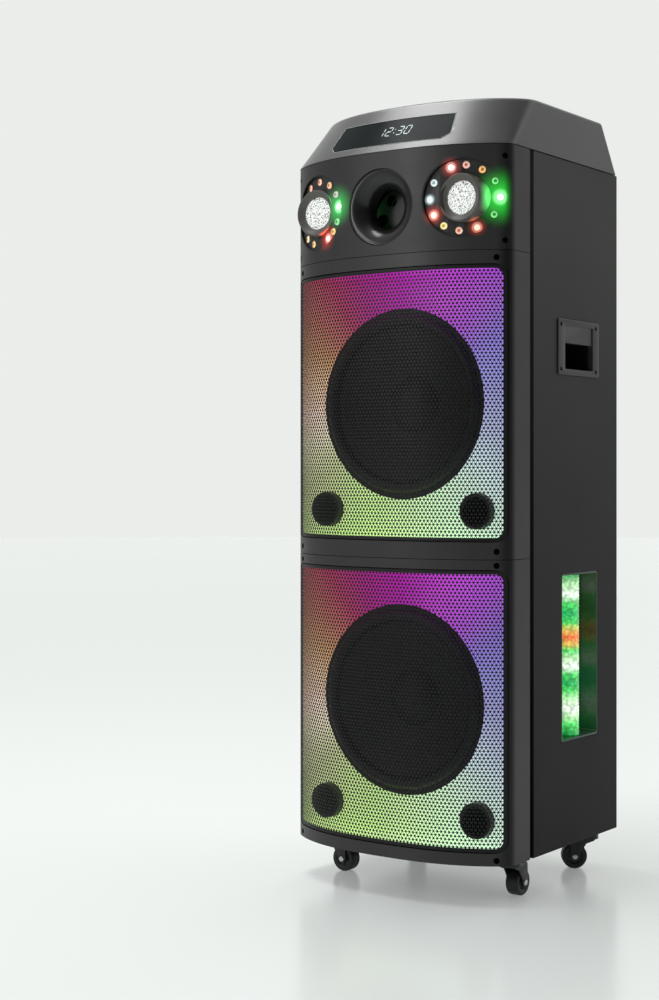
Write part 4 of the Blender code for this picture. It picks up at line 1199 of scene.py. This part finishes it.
def cap_section(z):
    """Half width, front, depth of the bow, its two powers, and rear, part of the way up the cap."""
    share = (z - CAP_SEAM) / (TOP - CAP_SEAM)
    return [a + (b - a) * share for a, b in zip(CAP_BASE, CAP_TOP)]


def cap_outline(level, inset):
    half, front, depth, power, roundness, rear = cap_section(level)
    half, front, depth, rear = half - inset, front + inset, depth - inset, rear - inset
    points = bowed(half, lambda x: front + depth * fall(x / half, power, roundness), 0.010)
    radius = 0.012
    points += arc((half - radius, rear - radius), radius, 0, 90, 10)
    return points + arc((radius - half, rear - radius), radius, 90, 180, 10)


def risers(low, high, inset, count=13):
    """Levels for a loft, close enough together for the sloping sides to shade evenly."""
    return [(low + (high - low) * step / count, inset) for step in range(count + 1)]


def cap_solid(name, levels, material=None):
    """A loft through levels, each with its own inset."""
    bm = bmesh.new()
    capped(bm, [[bm.verts.new((*point, z)) for point in cap_outline(z, inset)] for z, inset in levels])
    outward(bm)
    return build_object(name, bm, material, 50)


def window_outline(grow):
    half_z, top, bottom = 0.022 + grow, 0.100 + grow, 0.107 + grow
    right = [(bottom - 0.011, -half_z), (bottom, 0.009 - half_z), (top, half_z)]
    return right + [(-x, z) for x, z in right[::-1]]


def window_solid(name, grow):
    return extrusion(name, window_outline(grow), 0.08, at(0, -0.160, WINDOW_Z) @ FACING_FRONT)


def top_cap():
    radius = 0.0045
    turns = [radians(90 * step / 6) for step in range(7)]
    edge = [(TOP - radius + radius * sin(a), radius * (1 - cos(a)) * 0.8) for a in turns]
    levels = [(CAP_SEAM, 0.0005)] + risers(CAP_SEAM + 0.0006, edge[0][0], 0.0)[:-1] + edge
    skin = cap_solid("cap_skin", levels, "cap")
    filler = at(0, FILLER_Y, 0)
    hollow = cap_solid("hollow", [(CAP_SEAM - 0.01, 0.006), (TOP - 0.006, 0.006)])
    around_well = block("around_well", (-0.106, -0.036, 1.167), (0.106, 0.060, 1.2))
    carve(hollow, [around_well, rod("around_filler", 0.032, 1.167, 1.2, filler, 64)])
    well = extrusion("well", rounded_rectangle(0.100, 0.042, 0.003), 0.03, at(0, CONTROLS_Y, 1.188))
    pocket = window_solid("pocket", 0.0004)
    carve(pocket, [cap_solid("pocket_floor", risers(CAP_SEAM, TOP, 0.0045))])
    carve(skin, [hollow, well, rod("filler", 0.026, 1.173, 1.2, filler, 64), pocket])
    even(soften(skin, 0.0009, 3, 38))
    show(paint(skin, "cap"), ["top_cap"])
    window = window_solid("display_lens", 0)
    carve(window, [cap_solid("display_face", risers(CAP_SEAM, TOP, 0.0006))], "INTERSECT")
    carve(window, [cap_solid("display_rear", risers(CAP_SEAM, TOP, 0.004))])
    paint(soften(window, 0.0005), "smoked")
    show(window, ["display_window"])
    window_frame()
    digits()
    controls()


def slope_point(x, z, inset):
    """A point on the cap's front slope, moved inwards."""
    half, front, depth, power, roundness, _ = cap_section(z)
    return Vector((x, front + inset + (depth - inset) * fall(x / (half - inset), power, roundness), z))


def slope_normal(x, z):
    step = 0.0005
    along_x = slope_point(x + step, z, 0) - slope_point(x - step, z, 0)
    along_z = slope_point(x, z + step, 0) - slope_point(x, z - step, 0)
    return along_x.cross(along_z).normalized()


def window_frame():
    """A thin pale bead round the display."""
    points = divided(window_outline(-0.0002), lambda index, a, b: 40 if abs(a[0] - b[0]) > 0.1 else 8)
    points = [(x, WINDOW_Z + z) for x, z in points]
    bm = bmesh.new()
    rings = []
    for index, (x, z) in enumerate(points):
        before, after = points[index - 1], points[(index + 1) % len(points)]
        middle, normal = slope_point(x, z, 0.0002), slope_normal(x, z)
        run = slope_point(*after, 0.0002) - slope_point(*before, 0.0002)
        across = normal.cross(run).normalized()
        ring = []
        for step in range(8):
            angle = 2 * pi * step / 8
            offset = across * 0.0006 * cos(angle) + normal * 0.0005 * sin(angle)
            ring.append(bm.verts.new(middle + offset))
        rings.append(ring)
    bridge(bm, rings + [rings[0]])
    outward(bm)
    show(build_object("display_bead", bm, "bead", 60))


SEGMENTS = {"0": "abcdef", "1": "bc", "2": "abged", "3": "abgcd"}
BARS = {
    "a": ((0, 1), (1, 1)), "b": ((1, 1), (1, 0.5)), "c": ((1, 0.5), (1, 0)), "d": ((0, 0), (1, 0)),
    "e": ((0, 0.5), (0, 0)), "f": ((0, 1), (0, 0.5)), "g": ((0, 0.5), (1, 0.5)),
}


def digits():
    """A clock reading in seven-segment figures on the display."""
    width, tall, thick, lean = 0.0086, 0.0150, 0.00105, 0.12
    bm = bmesh.new()

    def plate(corners):
        front, rear = [], []
        for u, v in corners:
            x, z = u + v * lean, 1.1335 + v
            normal, base = slope_normal(x, z), slope_point(x, z, 0.0006)
            front.append(bm.verts.new(base + normal * 0.00022))
            rear.append(bm.verts.new(base - normal * 0.0001))
        capped(bm, [rear, front])

    x = -0.020
    for mark in "12:30":
        if mark == ":":
            for v in (0.3, 0.68):
                plate(arc((x + 0.0008, v * tall), 0.0008, 0, 315, 7))
            x += 0.0062
            continue
        for bar in SEGMENTS[mark]:
            a, b = [Vector((x + u * width, v * tall * 0.92 + 0.0006)) for u, v in BARS[bar]]
            run = (b - a).normalized()
            side = Vector((-run.y, run.x)) * thick / 2
            a, b = a + run * 0.0006, b - run * 0.0006
            tip = run * thick / 2
            plate([a, a + tip - side, b - tip - side, b, b - tip + side, a + tip + side])
        x += width + 0.0050
    outward(bm)
    show(build_object("display_digits", bm, "digits"))


def controls():
    """Inlay with its dial marks and screws, knob, button and filler cap."""
    outline = rounded_rectangle(0.0985, 0.0405, 0.0025)
    inlay = extrusion("control_inlay", outline, 0.0003, at(0, CONTROLS_Y, 1.17318), "inlay")
    show(inlay)
    marks = []
    for index in range(11):
        angle = radians(240 - 30 * index)
        matrix = at(KNOB_X, CONTROLS_Y, WELL_FLOOR - 0.0001) @ Matrix.Rotation(angle, 4, "Z")
        end = 0.0240 if index % 5 else 0.0252
        marks.append(block("mark", (0.0215, -0.00035, -0.00002), (end, 0.00035, 0.0002), "bead", matrix))
    ring = [(0.0112, -0.00002), (0.0118, -0.00002), (0.0118, 0.0002), (0.0112, 0.0002)]
    marks.append(lathe("ring", ring, at(BUTTON_X, CONTROLS_Y, WELL_FLOOR - 0.0001), "bead", 48))
    for x, y in ((-0.088, -0.018), (0.093, -0.018), (-0.088, 0.042), (0.093, 0.042)):
        marks += screw(x, y, WELL_FLOOR, (0, 0, 1), 0.0026)
    show(join("control_marks", marks))
    volume_knob()
    button = [
        (0, 0.0), (0.0088, 0.0), (0.0093, 0.0006), (0.0093, 0.0046),
        (0.0088, 0.0056), (0.0078, 0.0059), (0.0060, 0.0056), (0, 0.0052),
    ]
    matrix = at(BUTTON_X, CONTROLS_Y, WELL_FLOOR + 0.0015)
    piece = turning("mode_button_dished", button, matrix, "black", 64)
    show(piece, ["mode_button"], "mode_button")
    filler_cap()


def volume_knob():
    """A knurled skirt, a rounded top, and a pale pointer let into it."""
    bm = bmesh.new()
    # Height, radius, share of the knurling
    levels = [
        (0.0, 0.0170, 0), (0.0005, 0.0178, 1), (0.0080, 0.0173, 1), (0.0098, 0.0168, 0.4),
        (0.0108, 0.0160, 0), (0.0113, 0.0148, 0), (0.0110, 0.0135, 0),
    ]
    rings = []
    for level, radius, ribbed in levels:
        rings.append(circle(bm, lambda a: radius + ribbed * 0.00045 * cos(36 * a), level, 144))
    capped(bm, rings)
    bmesh.ops.transform(bm, matrix=at(KNOB_X, CONTROLS_Y, WELL_FLOOR), verts=bm.verts)
    knob = build_object("knob", bm, "black", 30)
    low, high = WELL_FLOOR + 0.0098, WELL_FLOOR + 0.02
    carve(knob, [block("slot", (0.0593, -0.003, low), (0.0607, 0.006, high))])
    low, high = WELL_FLOOR + 0.0090, WELL_FLOOR + 0.0106
    pointer = block("pointer", (0.0595, -0.0028, low), (0.0605, 0.0056, high), "bead")
    show(join("volume_knob_turned", [knob, pointer]), ["volume_knob"], "volume_knob")


def filler_cap():
    """A screw cap with two finger grips and a notched edge."""
    profile = [
        (0, 0.0), (0.0208, 0.0), (0.0218, 0.0008), (0.0218, 0.0100),
        (0.0210, 0.0112), (0.0196, 0.0115), (0, 0.0115),
    ]
    centre = at(0, FILLER_Y, WELL_FLOOR)
    cap = turning("filler_body", profile, centre, "black", 72)
    cuts = []
    for sign in (-1, 1):
        outline = rounded_rectangle(0.0145, 0.0034, 0.0028)
        cuts.append(extrusion("grip", outline, 0.02, centre @ at(0, sign * 0.0110, 0.0170)))
    for x, y in arc((0, 0), 0.0220, 0, 340, 17):
        cuts.append(rod("notch", 0.0011, -0.01, 0.02, centre @ at(x, y, 0), 12))
    paint(soften(carve(cap, cuts), 0.0004), "black")
    show(cap, ["filler_cap"], "filler_cap")


# ---------------------------------------------------------------- sides

def side_block(name, side, x_range, y_range, z_range, radius, material=None):
    """A block with rounded corners in Y and Z, through a range of distances from the middle."""
    half_y, half_z = [(high - low) / 2 for low, high in (y_range, z_range)]
    matrix = Matrix(((0, 0, 1, 0), (1, 0, 0, 0), (0, 1, 0, 0), (0, 0, 0, 1)))
    matrix = at(side * sum(x_range) / 2, sum(y_range) / 2, sum(z_range) / 2) @ matrix
    outline = rounded_rectangle(half_y, half_z, radius)
    return extrusion(name, outline, x_range[1] - x_range[0], matrix, material)


def grown(low_high, margin):
    return low_high[0] - margin, low_high[1] + margin


def handles():
    """A plate with a deep cup, a lip to grip, and four screws."""
    y0, y1, z0, z1 = -0.004, 0.1288, 0.779, 0.864
    ys, zs = grown([(y0 + y1) / 2] * 2, 0.0455), grown([(z0 + z1) / 2] * 2, 0.0335)
    grip_z = zs[1] - 0.027
    for side, label in SIDES:
        name = "handle_" + label
        plate = side_block(name + "_plate", side, (0.1934, 0.1954), (y0, y1), (z0, z1), 0.003, "handle")
        soften(plate, 0.0007, 3)
        cup = side_block("cup", side, (0.148, 0.1944), grown(ys, 0.003), grown(zs, 0.003), 0.006, "handle")
        carve(plate, [cup], "UNION")
        cuts = [
            side_block("mouth", side, (0.151, 0.21), ys, (zs[0], grip_z), 0.0025),
            side_block("behind", side, (0.151, 0.1774), ys, zs, 0.0025),
            side_block("above", side, (0.1934, 0.21), ys, (grip_z - 0.004, zs[1]), 0.0015),
        ]
        for cut in cuts:
            carve(plate, [cut])
        paint(soften(plate, 0.0007), "handle")
        show(plate, [name])
        screws = []
        for y in (y0 + 0.0095, y1 - 0.0095):
            for z in (z0 + 0.0085, z1 - 0.0085):
                screws += screw(side * 0.1954, y, z, (side, 0, 0), 0.0036)
        show(join(name + "_screws", screws))


def side_lights():
    ys, zs = (0.0101, 0.1288), (0.220, 0.476)
    for side, label in SIDES:
        tray = side_block(f"side_light_{label}_recess", side, (0.155, 0.1928), ys, zs, 0.004, "recess")
        carve(tray, [side_block("inner", side, (0.158, 0.2), grown(ys, -0.003), grown(zs, -0.003), 0.003)])
        paint(soften(tray, 0.0006), "recess")
        show(tray, ["side_light_tray_" + label])
        tube(side, label)


def tube(side, label):
    """A ribbed crystal tube: upright flutes crossed by stacked rings, with end collars."""
    length, rows = 0.2484, 150
    base = 0.348 - length / 2
    bm = bmesh.new()
    rings = []
    for row in range(rows + 1):
        share = row / rows
        stack = 0.5 + 0.5 * cos(2 * pi * share * 46)
        collar = 0.00021 if share < 0.035 or share > 0.965 else 0.0

        def radius(angle):
            flute = 0.5 + 0.5 * cos(16 * angle)
            return 0.0139 + 0.00055 * flute * (0.4 + 0.6 * stack) + 0.0003 * stack + collar

        z = base + 0.0004 + (length - 0.0008) * share
        rings.append(circle(bm, radius, z, 128, (side * 0.175, 0.06945)))
    capped(bm, rings)
    piece = build_object(f"side_light_{label}_crystal_tube", bm, "tube", 50)
    show(piece, ["side_light_tube_" + label])


# ---------------------------------------------------------------- castors

# Swivel axis in X and Y, and the way the castor trails
CASTORS = {
    "castor_front_left": (-0.160, -0.088, -90),
    "castor_front_right": (0.160, -0.088, 0),
    "castor_rear_left": (-0.163, 0.153, -140),
    "castor_rear_right": (0.163, 0.153, 126),
}
AXLE = at(0, 0.022, 0.020)


def castors():
    for name, (x, y, heading) in CASTORS.items():
        swivel = at(x, y, 0) @ Matrix.Rotation(radians(heading), 4, "Z")
        castor_plate(name, x, y)
        castor_fork(name, swivel)
        castor_wheel(name, swivel @ AXLE @ TO_RIGHT)


def castor_plate(name, x, y):
    plate = extrusion("plate", rounded_rectangle(0.019, 0.019, 0.004), 0.002, at(x, y, 0.0586), "zinc")
    corners = [at(x + sx * 0.0142, y + sy * 0.0142, 0) for sx in (-1, 1) for sy in (-1, 1)]
    carve(plate, [rod("hole", 0.0022, 0.0486, 0.0686, corner, 16) for corner in corners])
    paint(soften(plate, 0.0003), "zinc")
    race = [(0, 0.0580), (0.0150, 0.0580), (0.0150, 0.0560), (0.0138, 0.0556), (0, 0.0556)]
    pieces = [plate, turning("race", race, at(x, y, 0), "zinc", 48)]
    head = [(0, 0.0577), (0.0030, 0.0577), (0.0030, 0.0570), (0.0018, 0.0564), (0, 0.0564)]
    pieces += [turning("bolt", head, corner, "screw", 6) for corner in corners]
    show(join(name + "_top_plate", pieces), [name + "_plate"])


def castor_fork(name, swivel):
    """Crown and two tapering cheeks in one moulding, with the axle's heads."""
    crown = [
        (0, 0.0552), (0.0150, 0.0552), (0.0168, 0.0542), (0.0170, 0.0525), (0.0170, 0.0472), (0, 0.0472),
    ]
    fork = turning("crown", crown, swivel, "black", 48)
    outline = rounded_rectangle(0.0135, 0.016, 0.004)
    added = [extrusion("bridge", outline, 0.006, swivel @ at(0, 0.012, 0.0472), "black")]
    outline = [(-0.012, 0.0492), (0.028, 0.0492), (0.0288, 0.040), (0.0292, 0.022)]
    outline += arc((0.022, 0.020), 0.0070, 0, -180, 14)
    outline += [(0.0135, 0.0255), (0.004, 0.0405), (-0.008, 0.0450)]
    upright = Matrix.Rotation(radians(90), 4, "Z") @ FACING_FRONT
    nuts = []
    nut = [(0, 0), (0.0042, 0), (0.0044, 0.0004), (0.0040, 0.0013), (0.0026, 0.0017), (0, 0.0018)]
    for sign in (-1, 1):
        added.append(extrusion("cheek", outline, 0.0022, swivel @ at(sign * 0.0124, 0, 0) @ upright, "black"))
        outward = Matrix.Rotation(radians(90 * sign), 4, "Y")
        nuts.append(turning("nut", nut, swivel @ at(sign * 0.0134, 0, 0) @ AXLE @ outward, "zinc", 24))
    paint(soften(carve(fork, added, "UNION"), 0.0005), "black")
    axle = rod("axle", 0.0029, -0.0135, 0.0135, swivel @ AXLE @ TO_RIGHT, 24, "zinc")
    pieces = [fork] + nuts + [axle]
    show(join(name + "_moulded_fork", pieces), [name + "_fork"], name + "_swivel")


def castor_wheel(name, matrix):
    """Rubber tyre with rounded shoulders on a spoked hub."""
    half = 0.0105
    tyre = [(0.0128, half - 0.0003), (0.0165, half)] + arc((0.0165, half - 0.0035), 0.0035, 90, 0, 8)
    hub = [
        (0.0034, 0.0095), (0.0060, 0.0095), (0.0066, 0.0088), (0.0072, 0.0072),
        (0.0108, 0.0072), (0.0116, 0.0092), (0.0128, 0.0097),
    ]
    pieces = []
    for profile, material in ((tyre, "tyre"), (hub, "hub")):
        profile = profile + [(r, -z) for r, z in profile[::-1]]
        pieces.append(lathe("ring", profile, matrix, material, 72))
    for low in (-0.0088, 0.0068):
        for index in range(5):
            turn = matrix @ Matrix.Rotation(2 * pi * index / 5, 4, "Z")
            ends = (0.0055, -0.0010, low), (0.0118, 0.0010, low + 0.0020)
            pieces.append(block("spoke", *ends, "hub", turn))
    show(join(name + "_tyre_and_hub", pieces), [name + "_wheel"], name + "_roller")


# ---------------------------------------------------------------- rear

REAR_FACE = 0.1934


def rear():
    plate = block("service_sheet", (-0.095, 0.1919, 0.180), (0.095, REAR_FACE, 0.330), "panel")
    inlet_gap = block("inlet_gap", (0.0401, 0.18, 0.2036), (0.0699, 0.2, 0.2264))
    switch_gap = block("switch_gap", (0.0025, 0.18, 0.2035), (0.0175, 0.2, 0.2265))
    paint(soften(carve(plate, [inlet_gap, switch_gap]), 0.0004), "panel")
    show(plate, ["service_panel"])
    show(join("service_fittings", service_fittings()))
    show(join("inlet_moulding", inlet()), ["power_inlet"])


def service_fittings():
    """Screws, four jacks, four small dials and two slots for plugs."""
    pieces = []
    for x in (-0.086, 0.086):
        for z in (0.189, 0.321):
            pieces += screw(x, REAR_FACE, z, (0, 1, 0), 0.0038)
    jack = [
        (0.0066, 0.0), (0.0068, 0.0008), (0.0060, 0.0018), (0.0040, 0.0019), (0.0034, 0.0013), (0.0034, 0.0),
    ]
    socket = [(0, 0.0001), (0.0034, 0.0001), (0.0034, 0.0006), (0, 0.0003)]
    for x, z in ((-0.070, 0.300), (-0.044, 0.300), (-0.070, 0.272), (-0.044, 0.272)):
        matrix = at(x, REAR_FACE, z) @ FACING_REAR
        pieces.append(lathe("jack", jack, matrix, "zinc", 36))
        pieces.append(turning("socket", socket, matrix, "black", 24))
    dial = [(0, 0.0021), (0.0046, 0.0021), (0.0056, 0.0014), (0.0060, 0.0), (0, 0.0)]
    for x in (0.006, 0.030, 0.054, 0.076):
        pieces.append(turning("dial", dial, at(x, REAR_FACE, 0.295) @ FACING_REAR, "black", 10))
        ends = (x - 0.0004, 0.1953, 0.2952), (x + 0.0004, 0.1957, 0.2995)
        pieces.append(block("line", *ends, "bead"))
    around, slot = rounded_rectangle(0.0078, 0.0046, 0.0014, 4), rounded_rectangle(0.0062, 0.0030, 0.0010, 4)
    for x in (0.012, 0.038):
        pieces.append(extrusion("rim", around, 0.0008, at(x, 0.1936, 0.262) @ FACING_REAR, "zinc"))
        pieces.append(extrusion("slot", slot, 0.0006, at(x, 0.1940, 0.262) @ FACING_REAR, "black"))
    return pieces


def inlet():
    """A socket for a power cord, with three pins and two screws."""
    body = block("inlet_body", (0.0300, 0.1938, 0.1995), (0.0800, 0.1963, 0.2305), "black")
    soften(body, 0.0008, 3)
    throat = block("throat", (0.0405, 0.1735, 0.2040), (0.0695, 0.1945, 0.2260), "black")
    carve(body, [throat], "UNION")
    outline = rounded_rectangle(0.0120, 0.0085, 0.0025, 5)
    carve(body, [extrusion("well", outline, 0.04, at(0.055, 0.1955, 0.215) @ FACING_REAR)])
    pieces = [paint(body, "black")]
    for x, z in ((0.049, 0.2125), (0.061, 0.2125), (0.055, 0.2185)):
        ends = (x - 0.0010, 0.1755, z - 0.0020), (x + 0.0010, 0.1905, z + 0.0020)
        pieces.append(block("pin", *ends, "zinc"))
    for x in (0.0345, 0.0755):
        pieces += screw(x, 0.1963, 0.215, (0, 1, 0), 0.0026)
    return pieces


def rocker():
    """The switch's rocker: a slab with a dished face, a bar and a ring."""
    matrix = at(0.010, 0.1909, 0.215) @ Matrix.Rotation(radians(-7), 4, "X")
    body = block("rocker", (-0.0064, -0.0040, -0.0098), (0.0064, 0.0038, 0.0098), "black", matrix)
    carve(body, [rod("dish", 0.060, -0.02, 0.02, matrix @ at(0, 0.0630, 0) @ TO_RIGHT, 128)])
    paint(soften(body, 0.0005), "black")
    bar = block("bar", (-0.0003, 0.0030, 0.0038), (0.0003, 0.00345, 0.0070), "bead", matrix)
    profile = [(0.0014, 0), (0.0019, 0), (0.0019, 0.00035), (0.0014, 0.00035)]
    ring = lathe("ring", profile, matrix @ at(0, 0.0031, -0.0055) @ FACING_REAR, "bead", 32)
    show(join("power_rocker", [body, bar, ring]), ["power_switch"], "power_switch")


# ---------------------------------------------------------------- carried-over nodes

# Finish, and how far the edges are rounded
KEPT = {
    "side_panel_left": ("wrap", 0.0008), "side_panel_right": ("wrap", 0.0008),
    "rear_panel": ("wrap", 0.0008), "bottom_board": ("wrap", 0.0008),
    "middle_shelf": ("board", 0), "upper_shelf": ("board", 0),
    "lower_baffle": ("black", 0), "upper_baffle": ("black", 0),
    "bubble_wheel": ("black", 0.0006), "bubble_fan": ("black", 0),
    "fan_shroud": ("black", 0), "fluid_tank": ("black", 0.0006),
}


def carried_over():
    for name, (material, width) in KEPT.items():
        node = paint(NODES[name], material)
        if width:
            weld = node.modifiers.new("weld", "WELD")
            weld.merge_threshold = 0.00002
            bevel_edges(node, width, 2, 40)


# ---------------------------------------------------------------- build

camera()
studio()
bezels()
for name, module in MODULES.items():
    grille(name, module)
    reflector(name, module)
    woofer(name, module)
head()
top_cap()
handles()
side_lights()
castors()
rear()
rocker()
carried_over()
